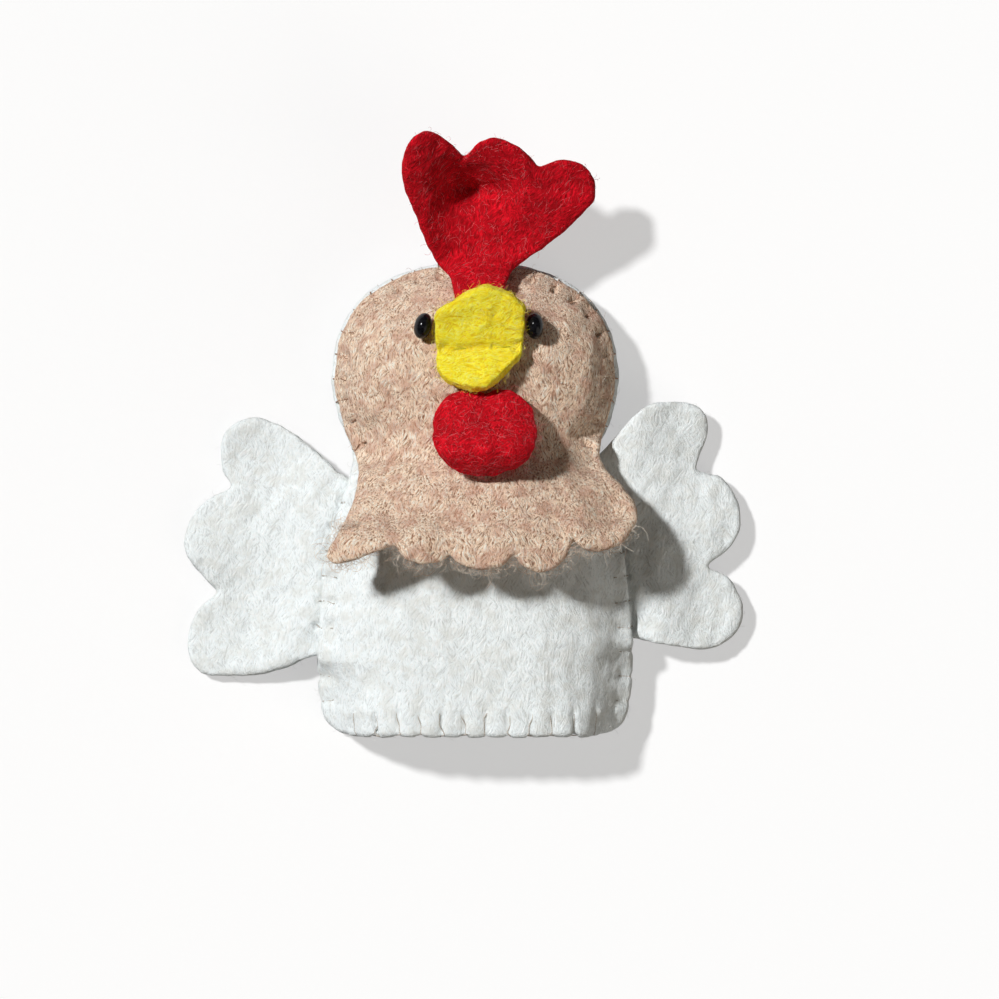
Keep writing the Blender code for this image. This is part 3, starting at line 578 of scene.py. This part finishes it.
def fuller_sides(edge):
    """The rise by which felt that is sewn all round stays level until near its seam."""

    def rise(x, y):
        apart = edge.find((x, y, 0.0))[2] / MM
        aside = ramp(abs(x) / MM, 11.0, 16.0) * ramp(abs(y / MM + 2.0), 0.0, 7.0)
        return 0.7 * MM * aside * ramp(apart, 0.0, 5.0) * (1.0 - ramp(apart, 5.0, 11.0))

    return rise


def nodding(x, y):
    """The rise of the wattle's free end off the chest, and the fall of its edge back towards it."""
    return 3.4 * MM * ramp(y / MM, 3.5, -3.0) - 2.4 * MM * ramp(y / MM, -2.0, -6.5)


def trimmed(beak):
    """Draws the beak to its cut: a straighter lower right edge, and tips that lean to the right."""
    places, _ = corners(beak)
    edge, outward = np.array((7.71, 13.05)) * MM, np.array((0.683, -0.730))
    margin, pull = 3.0 * MM, 0.2
    beyond = np.clip((places[:, :2] - edge) @ outward + margin, 0.0, None)
    places[:, :2] -= (beyond * pull)[:, None] * outward
    for shift, start, end in ((1.2 * MM, 17.0, 22.6), (0.8 * MM, 10.0, 6.0)):
        places[:, 0] += [shift * ramp(y / MM, start, end) for y in places[:, 1]]
    moved(beak, places)


def level_tip(edge):
    """The rise that keeps the right wing's arch from falling all the way to the table."""
    height, tip = 1.2 * MM, 15.0

    def rise(x, y):
        out = edge.find((x, y, 0.0))[2] / MM if x > 0 else 0.0
        if out < tip / 2:
            return 0.0
        return height * (1.0 - math.sin(math.pi * min(out, tip) / tip))

    return rise


def rested(piece):
    """Flattens what would sink into the table."""
    places, _ = corners(piece)
    places[:, 2] = np.maximum(places[:, 2], FELT_FLOOR)
    moved(piece, places)


def distances(start, end, places):
    """How far each place is from a straight run."""
    start, along = np.array(start), np.array(end) - np.array(start)
    share = np.clip((places - start) @ along / max(along @ along, 1e-12), 0.0, 1.0)
    return np.linalg.norm(places - start - share[:, None] * along, axis=1)


def pressed(piece, runs, depth, width, seed=0):
    """Sinks the felt under each straight run of thread, some a little deeper than others."""
    chance = random.Random(seed)
    places, normals = corners(piece)
    sink = np.zeros(len(places))
    for start, end in runs:
        sway = Vector((chance.uniform(-0.2, 0.2), chance.uniform(-0.2, 0.2), 0.0)) * MM
        apart = distances(start + sway, end - sway, places)
        pull = chance.uniform(0.5, 1.05)
        wide = width * chance.uniform(0.8, 1.3)
        sink = np.maximum(sink, pull * np.exp(-((apart / wide) ** 2)))
    moved(piece, places - normals * (sink * depth)[:, None])


def puffed(piece, groups, height, width, seed=0):
    """Swells the felt between neighbouring stitches of a seam."""
    chance = random.Random(seed)
    widest_gap = 6.0 * MM
    places, normals = corners(piece)
    swell = np.zeros(len(places))
    for first, second in zip(groups, groups[1:]):
        pull = chance.uniform(0.6, 1.2)
        if (first[1] - second[1]).length > widest_gap:
            continue
        start, end = (first[1] + second[1]) / 2, (first[2] + second[2]) / 2
        apart = distances(start, end, places)
        swell = np.maximum(swell, pull * np.exp(-((apart / width) ** 2)))
    moved(piece, places + normals * (swell * height)[:, None])


def plumped(piece, rim, thinned, swollen):
    """Thins a thick piece towards its cut edge and swells its middle, as a pad of wool does."""
    places, normals = corners(piece)
    edge = places[np.abs(normals[:, 2]) < WALL][:, :2]
    edge = edge[:: max(1, len(edge) // 900)]
    apart = np.array([np.min(np.linalg.norm(edge - p[:2], axis=1)) for p in places])
    flat = np.column_stack((places[:, :2], np.ones(len(places))))
    middle = flat @ np.linalg.lstsq(flat, places[:, 2], rcond=None)[0]
    share = np.clip(1.0 - apart / rim, 0.0, 1.0) ** 2
    above = places[:, 2] > middle
    factor = 1.0 - thinned * share + swollen * (1.0 - share) * above
    places[:, 2] = middle + (places[:, 2] - middle) * factor
    moved(piece, places)


def stitch_runs(*nodes, over_edge=True):
    """The visible straight runs of the whip stitches, over the top and down the edge."""
    runs = []
    for node in nodes:
        for _, hole_top, edge_top, edge_under in STITCHES[node]:
            runs.append((hole_top, edge_top))
            if over_edge:
                runs.append((edge_top, edge_under))
    return runs


def under_runs(node):
    """The slanting runs underneath, from each stitch's edge to the next one's hole."""
    groups = STITCHES[node]
    return [(a[3], b[0]) for a, b in zip(groups, groups[1:])]


def finished(piece, material, node=None):
    """Gives a finished piece its material, and puts it in its CAD node's place."""
    piece.data.materials.clear()
    piece.data.materials.append(material)
    piece.data.shade_smooth()
    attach(piece, "root")
    if node:
        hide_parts(node)


# Fibres


def coated(wool, slot):
    """Gives a felt's loose wool the fibre material that goes with its slot."""
    finished(wool, material_named(slot.replace("felt", "wool_fibre")))


def strand_mesh(name, strands, radius):
    """A mesh of fine tapered three-sided strands, each with a tone of its own."""
    places, faces, tones = [], [], []
    for path, tone in strands:
        first = len(places)
        last = len(path) - 1
        places.append(path[0])
        for k in range(1, last):
            along = (path[k + 1] - path[k - 1]).normalized()
            side = along.cross(Vector((0.31, 0.22, 0.92))).normalized()
            up = along.cross(side)
            for turn in (90, 210, 330):
                angle = math.radians(turn)
                places.append(path[k] + (side * math.cos(angle) + up * math.sin(angle)) * radius)
        places.append(path[last])
        tip = len(places) - 1
        for k in range(3):
            here, there = first + 1 + k, first + 1 + (k + 1) % 3
            faces.append((first, there, here))
            for ring in range(last - 2):
                a, b = here + ring * 3, there + ring * 3
                faces.append((a, b, b + 3, a + 3))
            faces.append((tip, here + (last - 2) * 3, there + (last - 2) * 3))
        tones += [tone] * (len(places) - first)
    mesh = bpy.data.meshes.new(name)
    mesh.from_pydata(places, [], faces)
    mesh.attributes.new("tone", "FLOAT", "POINT").data.foreach_set("value", tones)
    piece = bpy.data.objects.new(name, mesh)
    bpy.context.scene.collection.objects.link(piece)
    return piece


def roots(felt, chance, count, weigh):
    """Places scattered over a piece of felt, each with its normal. weigh favours some of them."""
    mesh = felt.data
    mesh.calc_loop_triangles()
    triangles = mesh.loop_triangles
    firsts = [mesh.vertices[triangle.vertices[0]].co for triangle in triangles]
    sums = np.cumsum([t.area * weigh(first, t.normal) for t, first in zip(triangles, firsts)])
    picks = np.searchsorted(sums, [chance.random() * sums[-1] for _ in range(count)])
    starts = []
    for pick in picks:
        triangle = triangles[int(min(pick, len(triangles) - 1))]
        a, b, c = (mesh.vertices[v].co for v in triangle.vertices)
        u, v = chance.random(), chance.random()
        if u + v > 1:
            u, v = 1 - u, 1 - v
        starts.append((a + (b - a) * u + (c - a) * v, triangle.normal.copy()))
    return starts


def lying_wool(felt, count, seed, reach, weigh, lie):
    """Fibres that lie along the surface, bowed up a little between their ends."""
    spread, lift, steps, curl = 0.6, 0.02 * MM, 3, 0.35
    chance = random.Random(seed)
    tree = tree_of(felt)
    strands = []
    for point, normal in roots(felt, chance, count, weigh):
        angle = chance.uniform(-math.pi, math.pi) if lie is None else lie + chance.gauss(0, spread)
        heading = Vector((math.cos(angle), math.sin(angle), 0.0))
        heading -= normal * heading.dot(normal)
        if heading.length < 0.3:
            continue
        step = reach * chance.uniform(0.5, 1.4) / steps
        bend = chance.gauss(0, curl)
        path = [point - normal * 0.03 * MM]
        for k in range(1, steps + 1):
            heading = (heading + normal.cross(heading) * bend).normalized()
            bend += chance.gauss(0, curl * 0.5)
            near = tree.find_nearest(point + heading * step)
            point, normal = near[0], near[1]
            heading -= normal * heading.dot(normal)
            arch = math.sin(math.pi * k / steps) * chance.uniform(0.4, 1.5)
            path.append(point + normal * (lift * arch - 0.012 * MM))
        strands.append((path, chance.random()))
    return strands


def loose_wool(felt, count, seed, reach, weigh, rise, curl=0.55, steps=6):
    """Fibres that are held at one end only, and curl away from the felt."""
    chance = random.Random(seed)
    strands = []
    for point, normal in roots(felt, chance, count, weigh):
        any_way = Vector((chance.gauss(0, 1), chance.gauss(0, 1), chance.gauss(0, 1)))
        side = normal.cross(any_way).normalized()
        heading = (normal * chance.uniform(*rise) + side).normalized()
        axis = Vector((chance.gauss(0, 0.5), chance.gauss(0, 0.5), chance.choice((-1, 1))))
        axis.normalize()
        bend = abs(chance.gauss(curl, curl * 0.5))
        step = reach * chance.uniform(0.35, 1.4) / steps
        path = [point - normal * 0.05 * MM]
        for k in range(steps):
            point = point + heading * step
            path.append(point.copy())
            heading = (heading + axis.cross(heading) * bend * chance.uniform(0.5, 1.4)).normalized()
        strands.append((path, chance.random()))
    return strands


# Threads


def curved(points, steps):
    """A smooth line through the points."""
    line = []
    for k in range(len(points) - 1):
        before, start = points[max(k - 1, 0)], points[k]
        end, after = points[k + 1], points[min(k + 2, len(points) - 1)]
        leave, arrive = (end - before) / 2, (after - start) / 2
        for step in range(steps):
            t = step / steps
            line.append(
                start * (2 * t**3 - 3 * t**2 + 1)
                + leave * (t**3 - 2 * t**2 + t)
                + end * (3 * t**2 - 2 * t**3)
                + arrive * (t**3 - t**2)
            )
    return line + [points[-1]]


def thread_piece(node, points, cyclic, radius, material):
    """A sewing thread along a line, as a mesh with closed ends."""
    name = node + "_laid"
    curve = bpy.data.curves.new(name, "CURVE")
    curve.dimensions = "3D"
    curve.bevel_depth = radius
    curve.bevel_resolution = 1
    curve.use_fill_caps = True
    line = curve.splines.new("POLY")
    line.points.add(len(points) - 1)
    line.points.foreach_set("co", [c for p in points for c in (*p, 1.0)])
    line.use_cyclic_u = cyclic
    piece = bpy.data.objects.new(name, curve)
    bpy.context.scene.collection.objects.link(piece)
    only(piece)
    bpy.ops.object.convert(target="MESH")
    finished(bpy.context.view_layer.objects.active, material, node)


def seated(point, trees, height):
    """The point brought to just above the nearest felt, if that is near."""
    best = None
    for tree in trees:
        near = tree.find_nearest(point, FELT_REACH)
        if near[0] is not None and (best is None or near[3] < best[3]):
            best = near
    return point if best is None else best[0] + best[1] * height


def hugged(point):
    """The eye thread's point drawn in against the end of its bead, where it leaves the felt."""
    drawn, lowered = 0.6, 0.3 * MM
    for side in ("left", "right"):
        low, high = (Vector(corner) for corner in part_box(side + "_eye_bead"))
        middle = (low + high) / 2
        if (point - middle).length < FELT_REACH:
            return Vector((middle.x + (point.x - middle.x) * drawn, point.y, point.z - lowered))
    return point


def sunk_top(path):
    """A tack's path with its top run drawn down into the felt."""
    top, depth, run = max(p.z for p in path), 1.5 * MM, 2.0 * MM
    return [p - Vector((0, 0, depth)) if top - p.z < run else p for p in path]


def whip_line(groups, trees, radius, sunk, seed):
    """The path of a whip stitch, pulled down into the felt on top, at the edge and underneath."""
    chance = random.Random(seed)
    points = []
    for k, (hole_under, hole_top, edge_top, edge_under) in enumerate(groups):
        height = -radius * sunk * chance.uniform(0.6, 1.3)
        points.append(seated(hole_under, trees, -radius * 2.5))
        points.append(seated(hole_top, trees, -radius * 3.0))
        runs = [
            (hole_top, edge_top, (0.22, 0.5, 0.78), height),
            (edge_top, edge_under, (0.0, 0.5, 1.0), height),
        ]
        if k + 1 < len(groups):
            runs.append((edge_under, groups[k + 1][0], (0.3, 0.65), -radius * 0.3))
        for start, end, shares, rise in runs:
            points += [seated(start.lerp(end, share), trees, rise) for share in shares]
    return curved(points, 3)


# Operators


def settings():
    return bpy.context.scene.felt_hen


def felt_named(node):
    return bpy.data.objects[node + "_felt"]


def material_named(name):
    return bpy.data.materials[name]


class PUPPET_OT_stage(bpy.types.Operator):
    """Adds the table top, the lights and the camera that looks straight down"""

    bl_idname = "puppet.stage"
    bl_label = "Stage"

    def execute(self, context):
        stage, colours = settings().stage, settings().colours
        bpy.ops.object.select_all(action="DESELECT")
        bpy.ops.mesh.primitive_plane_add(size=6.0, location=(0, 0, 0))
        floor = context.active_object
        floor.name = "table_top"
        floor.data.materials.append(floor_material("table_top", tuple(colours.floor)))

        for name, bearing, elevation, softness, strength, tint in (
            ("key", stage.bearing, stage.elevation, stage.softness, stage.key, (1.0, 1.0, 1.0)),
            ("side", stage.bearing + math.pi, stage.side_elevation, stage.side_softness,
             stage.side, (1.0, 0.94, 0.85)),
        ):
            flat, high = math.cos(elevation), math.sin(elevation)
            toward = Vector((flat * math.cos(bearing), flat * math.sin(bearing), high))
            bpy.ops.object.light_add(type="SUN", location=toward)
            lamp = context.active_object
            lamp.name = name + "_light"
            lamp.data.energy = strength
            lamp.data.angle = softness
            lamp.data.color = tint
            lamp.rotation_euler = toward.to_track_quat("Z", "Y").to_euler()

        world = bpy.data.worlds.new("soft_light")
        world.use_nodes = True
        backdrop = world.node_tree.nodes["Background"]
        backdrop.inputs["Color"].default_value = (1.0, 0.9, 0.78, 1.0)
        backdrop.inputs["Strength"].default_value = stage.fill
        context.scene.world = world

        above = PICTURE_CENTRE + Vector((0, 0, stage.distance))
        bpy.ops.object.camera_add(location=above, rotation=(0, 0, 0))
        camera = context.active_object
        camera.name = "camera"
        camera.data.sensor_width = SENSOR_WIDTH
        camera.data.lens = SENSOR_WIDTH * stage.distance / PICTURE_WIDTH
        camera.data.clip_end = 20.0
        context.scene.camera = camera
        context.scene.view_settings.view_transform = "Standard"
        return {"FINISHED"}


class PUPPET_OT_materials(bpy.types.Operator):
    """Makes the felts, fibres, threads and glass"""

    bl_idname = "puppet.materials"
    bl_label = "Materials"

    def execute(self, context):
        colours = settings().colours
        white, tan = tuple(colours.white), tuple(colours.tan)
        red, yellow = tuple(colours.red), tuple(colours.yellow)
        felt_material(
            "combed_white_felt", ((0.70, 0.735, 0.735), white, (0.97, 0.995, 0.995)), UPRIGHT,
            ((0.74, 0.66, 0.56), 0.4), ((0.76, 0.77, 0.73), 0.55), 0.17 * MM, 0.08,
        )
        felt_material(
            "combed_tan_felt", ((0.32, 0.15, 0.08), tan, (1.0, 0.95, 0.84)), UPRIGHT,
            ((0.24, 0.09, 0.05), 0.75), ((0.62, 0.33, 0.23), 0.65), 0.3 * MM, 0.05,
        )
        felt_material(
            "combed_red_felt", ((0.26, 0.001, 0.003), red, (0.90, 0.008, 0.024)), math.radians(66),
            ((0.92, 0.08, 0.11), 0.4), ((0.38, 0.001, 0.006), 0.5), 0.2 * MM,
        )
        felt_material(
            "combed_yellow_felt", ((0.84, 0.56, 0.01), yellow, (1.0, 0.96, 0.18)), math.radians(20),
            ((0.80, 0.50, 0.01), 0.2), ((0.94, 0.70, 0.012), 0.6), 0.22 * MM,
        )
        fibre_material("white_wool_fibre", (0.80, 0.81, 0.78), (0.97, 0.985, 0.98))
        fibre_material("tan_wool_fibre", (0.32, 0.17, 0.10), (1.0, 0.92, 0.80))
        fibre_material("red_wool_fibre", (0.40, 0.001, 0.008), (0.92, 0.24, 0.26))
        fibre_material("yellow_wool_fibre", (0.90, 0.70, 0.01), (1.0, 0.97, 0.34))
        # The white thread is coloured a dull beige-grey: painted shade for the grooves its stitches
        # lie in
        thread_material("spun_white_thread", (0.62, 0.575, 0.52))
        # The tan thread's dark brown is partly the wool's own brown and partly painted shade for
        # the dimples at its needle holes
        thread_material("spun_tan_thread", (0.44, 0.25, 0.16))
        thread_material("spun_red_thread", red)
        thread_material("spun_yellow_thread", shade(yellow, 0.7))
        thread_material("spun_black_thread", (0.02, 0.02, 0.02))
        glass_material("polished_black_glass", tuple(colours.bead))
        return {"FINISHED"}


class PUPPET_OT_panels(bpy.types.Operator):
    """Makes the white back and front panels, with the dents and puffs of their seams"""

    bl_idname = "puppet.panels"
    bl_label = "Panels"

    def execute(self, context):
        sizes = settings().felt
        back = felt_copy("back_panel", sizes.skin * 1.25, 8)
        front = felt_copy("front_panel", sizes.skin * 0.88, 18)
        shifted(front, fuller_sides(cut_edge("back_panel")))
        for k, piece in enumerate((back, front)):
            widen(piece, EDGE_LOSS)
            lumpy(piece, sizes.lump, 3 + k)
        seams = stitch_runs("left_seam_thread", "right_seam_thread")
        straight = 15.5 * MM
        hem = [run for run in stitch_runs("front_hem_thread") if abs(run[0].x) < straight]
        pressed(front, hem, sizes.press * 1.2, sizes.press_width * 0.9, 4)
        pressed(front, seams, sizes.press * 0.45, sizes.press_width * 1.2, 6)
        puffed(front, STITCHES["front_hem_thread"], sizes.puff, 1.2 * MM, 5)
        for side in ("left_seam_thread", "right_seam_thread"):
            puffed(front, STITCHES[side], sizes.puff * 0.5, 1.1 * MM)
        behind = seams + stitch_runs("back_hem_thread", "head_seam_thread")
        for node in WHIP_THREADS:
            if node != "front_hem_thread":
                behind += under_runs(node)
        pressed(back, behind, sizes.press * 0.7, sizes.press_width)
        rested(back)
        finished(back, material_named("combed_white_felt"), "back_panel")
        finished(front, material_named("combed_white_felt"), "front_panel")
        return {"FINISHED"}


class PUPPET_OT_face(bpy.types.Operator):
    """Makes the tan face and its scalloped collar"""

    bl_idname = "puppet.face"
    bl_label = "Face and collar"

    def execute(self, context):
        sizes = settings().felt
        face = felt_copy("face_and_collar", sizes.skin, 12)
        sides = fuller_sides(cut_edge("back_panel"))

        def rise(x, y):
            """Fuller sides, and a collar that lifts a little more on the left."""
            free = ramp(y / MM, -11.0, -16.0)
            return sides(x, y) + free * (0.7 + 1.5 * ramp(x / MM, -3.0, -10.0)) * MM

        shifted(face, rise)
        widen(face, EDGE_LOSS)
        lumpy(face, sizes.lump * 1.3, 11)
        dents = stitch_runs("head_seam_thread", over_edge=False)
        pressed(face, dents, sizes.press * 1.2, sizes.press_width, 7)
        puffed(face, STITCHES["head_seam_thread"], sizes.puff * 0.6, 1.1 * MM)
        finished(face, material_named("combed_tan_felt"), "face_and_collar")
        return {"FINISHED"}


class PUPPET_OT_wings(bpy.types.Operator):
    """Makes the two lobed wings"""

    bl_idname = "puppet.wings"
    bl_label = "Wings"

    def execute(self, context):
        sizes = settings().felt
        for k, side in enumerate(("left", "right")):
            wing = felt_copy(side + "_wing", sizes.skin * 0.9, 12)
            if side == "right":
                shifted(wing, level_tip(cut_edge("back_panel")))
            widen(wing, EDGE_LOSS)
            lumpy(wing, sizes.lump * 1.6, 21 + k, RIPPLES, math.radians(58), 1.8)
            seam = stitch_runs(side + "_seam_thread")
            pressed(wing, seam, sizes.press * 0.6, sizes.press_width)
            rested(wing)
            finished(wing, material_named("combed_white_felt"), side + "_wing")
        return {"FINISHED"}


class PUPPET_OT_comb(bpy.types.Operator):
    """Makes the red comb"""

    bl_idname = "puppet.comb"
    bl_label = "Comb"

    def execute(self, context):
        sizes = settings().felt
        comb = felt_copy("comb", sizes.fine_skin * 1.15, 16)
        ridge = ((-9.0, 38.5), (5.0, 37.5), 1.4, 4.0), ((5.0, 37.5), (18.0, 34.5), 1.7, 4.0)
        hollow = ((-2.8, 38.0), (3.4, 36.8), -3.7, 2.9)
        shifted(comb, swells(*ridge, hollow))
        widen(comb, EDGE_LOSS)
        lumpy(comb, sizes.lump * 1.4, 31)
        finished(comb, material_named("combed_red_felt"), "comb")
        return {"FINISHED"}


class PUPPET_OT_beak(bpy.types.Operator):
    """Makes the folded beak and the wattle under it"""

    bl_idname = "puppet.beak"
    bl_label = "Beak and wattle"

    def execute(self, context):
        sizes = settings().felt
        beak = felt_copy("beak", sizes.fine_skin * 0.9, 7)
        widen(beak, EDGE_LOSS * 0.75)
        trimmed(beak)
        lumpy(beak, sizes.lump * 1.5, 41, BEAK_LUMPS)
        crease_depth, crease_width = 1.35 * MM, 0.5 * MM
        pressed(beak, list(zip(BEAK_CREASE, BEAK_CREASE[1:])), crease_depth, crease_width, 9)
        finished(beak, material_named("combed_yellow_felt"), "beak")
        wattle = felt_copy("wattle", sizes.fine_skin * 1.1, 22)
        plumped(wattle, rim=5.4 * MM, thinned=0.72, swollen=0.5)
        shifted(wattle, nodding)
        widen(wattle, EDGE_LOSS * 1.375)
        lumpy(wattle, sizes.lump * 1.8, 51)
        finished(wattle, material_named("combed_red_felt"), "wattle")
        return {"FINISHED"}


class PUPPET_OT_eyes(bpy.types.Operator):
    """Turns the glass seed beads"""

    bl_idname = "puppet.eyes"
    bl_label = "Eyes"

    turns = {"left": math.radians(-15), "right": 0.0}

    def execute(self, context):
        for side, turn in self.turns.items():
            low, high = (Vector(corner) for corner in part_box(side + "_eye_bead"))
            fullness, long, hole = 1.04, 2.7 * MM, 0.4 * MM
            radius = (high.z - low.z) / 2 * fullness
            bpy.ops.object.select_all(action="DESELECT")
            bpy.ops.mesh.primitive_uv_sphere_add(segments=48, ring_count=32, radius=radius)
            bead = context.active_object
            bead.name = bead.data.name = side + "_eye"
            bpy.ops.object.mode_set(mode="EDIT")
            shaped = bmesh.from_edit_mesh(bead.data)
            for vertex in shaped.verts:
                vertex.select_set(vertex.co.xy.length < hole)
            shaped.select_flush_mode()
            bpy.ops.mesh.delete(type="VERT")
            shaped = bmesh.from_edit_mesh(bead.data)
            for edge in shaped.edges:
                edge.select_set(edge.is_boundary)
            bpy.ops.mesh.bridge_edge_loops(number_cuts=4)
            bpy.ops.mesh.select_all(action="SELECT")
            bpy.ops.mesh.normals_make_consistent(inside=False)
            bpy.ops.object.mode_set(mode="OBJECT")
            bead.scale = (1.0, 1.0, long / 2 / radius)
            bead.rotation_euler = (0.0, math.radians(90), turn)
            bead.location = (low + high) / 2
            bpy.ops.object.transform_apply(location=True, rotation=True, scale=True)
            modified(bead, "SUBSURF", levels=1, render_levels=1)
            finished(bead, material_named("polished_black_glass"), side + "_eye_bead")
        return {"FINISHED"}


class PUPPET_OT_stitching(bpy.types.Operator):
    """Lays the sewing threads into the felt"""

    bl_idname = "puppet.stitching"
    bl_label = "Stitching"

    def execute(self, context):
        radius = settings().thread.radius
        nodes = ("front_panel", "back_panel", "face_and_collar", "left_wing", "right_wing")
        trees = {node: tree_of(felt_named(node)) for node in nodes}
        near_hems = {side + "_hem_thread": [trees[side + "_panel"]] for side in ("front", "back")}
        for k, node in enumerate(WHIP_THREADS):
            near = near_hems.get(node, list(trees.values()))
            # The hem threads sink less, so their darker colour shows as painted shade along the
            # hem's grooves
            sunk = 0.4 if node in near_hems else 1.1
            tint = "tan" if node == "head_seam_thread" else "white"
            line = whip_line(STITCHES[node], near, radius, sunk, 60 + k)
            thread_piece(node, line, False, radius, material_named(f"spun_{tint}_thread"))
        for node, tint in TACK_THREADS.items():
            path = TACKS[node]
            if node in ("beak_thread", "wattle_thread"):
                path = sunk_top(path)
            if node == "eye_thread":
                path = [hugged(p) for p in path]
            line = curved([*path, path[0]], 4)[:-1]
            thread_piece(node, line, True, radius, material_named(f"spun_{tint}_thread"))
        return {"FINISHED"}


class PUPPET_OT_fibres(bpy.types.Operator):
    """Strews loose wool over every piece of felt"""

    bl_idname = "puppet.fibres"
    bl_label = "Fibres"

    def execute(self, context):
        fine = settings().thread.fibre_radius
        rim, face_edge, collar_top = 0.6, 2.0 * MM, -13.0 * MM

        def laid(at, normal):
            return 0.4 if normal.z < -0.5 else 1.0

        def curling(at, normal):
            return 4.0 if abs(normal.z) < rim else 0.5 if normal.z > 0 else 0.1

        def uncovered(weigh):
            """No wool where the face covers the front panel."""
            return lambda at, normal: 0.0 if at.y > face_edge else weigh(at, normal)

        def hanging(at, normal):
            return 1.0 if abs(normal.z) < rim and at.y < collar_top else 0.0

        for k, (node, slot, count, reach, combed, curls, curl_reach) in enumerate(COATS):
            felt, weights = felt_named(node), (laid, curling)
            if node == "front_panel":
                weights = [uncovered(weigh) for weigh in weights]
            lie = UPRIGHT if combed else None
            wool = lying_wool(felt, count, 100 + k, reach * MM, weights[0], lie)
            wool += loose_wool(felt, curls, 200 + k, curl_reach * 1.6 * MM, weights[1], (0.3, 1.2))
            wool = [strand for strand in wool if min(p.z for p in strand[0]) > FIBRE_FLOOR]
            coated(strand_mesh(node + "_fibres", wool, fine), slot)
        collar = felt_named("face_and_collar")
        wool = loose_wool(collar, 420, 300, 3.0 * MM, hanging, (0.9, 2.4), 0.5, 8)
        wool = [(path, 0.45 + 0.55 * tone) for path, tone in wool]
        fringe = strand_mesh("collar_fringe", wool, fine * 1.5)
        coated(fringe, "tan_felt")
        return {"FINISHED"}


class PuppetSettings(bpy.types.PropertyGroup):
    colours: PointerProperty(type=FeltColours)
    felt: PointerProperty(type=FeltSizes)
    thread: PointerProperty(type=ThreadSizes)
    stage: PointerProperty(type=StageSettings)


OPERATORS = (
    PUPPET_OT_stage,
    PUPPET_OT_materials,
    PUPPET_OT_panels,
    PUPPET_OT_face,
    PUPPET_OT_wings,
    PUPPET_OT_comb,
    PUPPET_OT_beak,
    PUPPET_OT_eyes,
    PUPPET_OT_stitching,
    PUPPET_OT_fibres,
)


class PUPPET_PT_sidebar(bpy.types.Panel):
    """Lists the settings and the steps that build the puppet"""

    bl_idname = "PUPPET_PT_sidebar"
    bl_label = "Felt Hen"
    bl_space_type = "VIEW_3D"
    bl_region_type = "UI"
    bl_category = "Felt Hen"

    def draw(self, context):
        chosen = context.scene.felt_hen
        for group in (chosen.colours, chosen.felt, chosen.thread, chosen.stage):
            box = self.layout.box()
            for key in group.__annotations__:
                box.prop(group, key)
        for operator in OPERATORS:
            self.layout.operator(operator.bl_idname)


GROUPS = (FeltColours, FeltSizes, ThreadSizes, StageSettings, PuppetSettings)
CLASSES = (*GROUPS, *OPERATORS, PUPPET_PT_sidebar)


def register():
    for each in CLASSES:
        bpy.utils.register_class(each)
    bpy.types.Scene.felt_hen = PointerProperty(type=PuppetSettings)


def unregister():
    del bpy.types.Scene.felt_hen
    for each in reversed(CLASSES):
        bpy.utils.unregister_class(each)


def main():
    register()
    for operator in OPERATORS:
        getattr(bpy.ops.puppet, operator.bl_idname.removeprefix("puppet."))()
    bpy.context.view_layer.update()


if __name__ == "__main__":
    main()
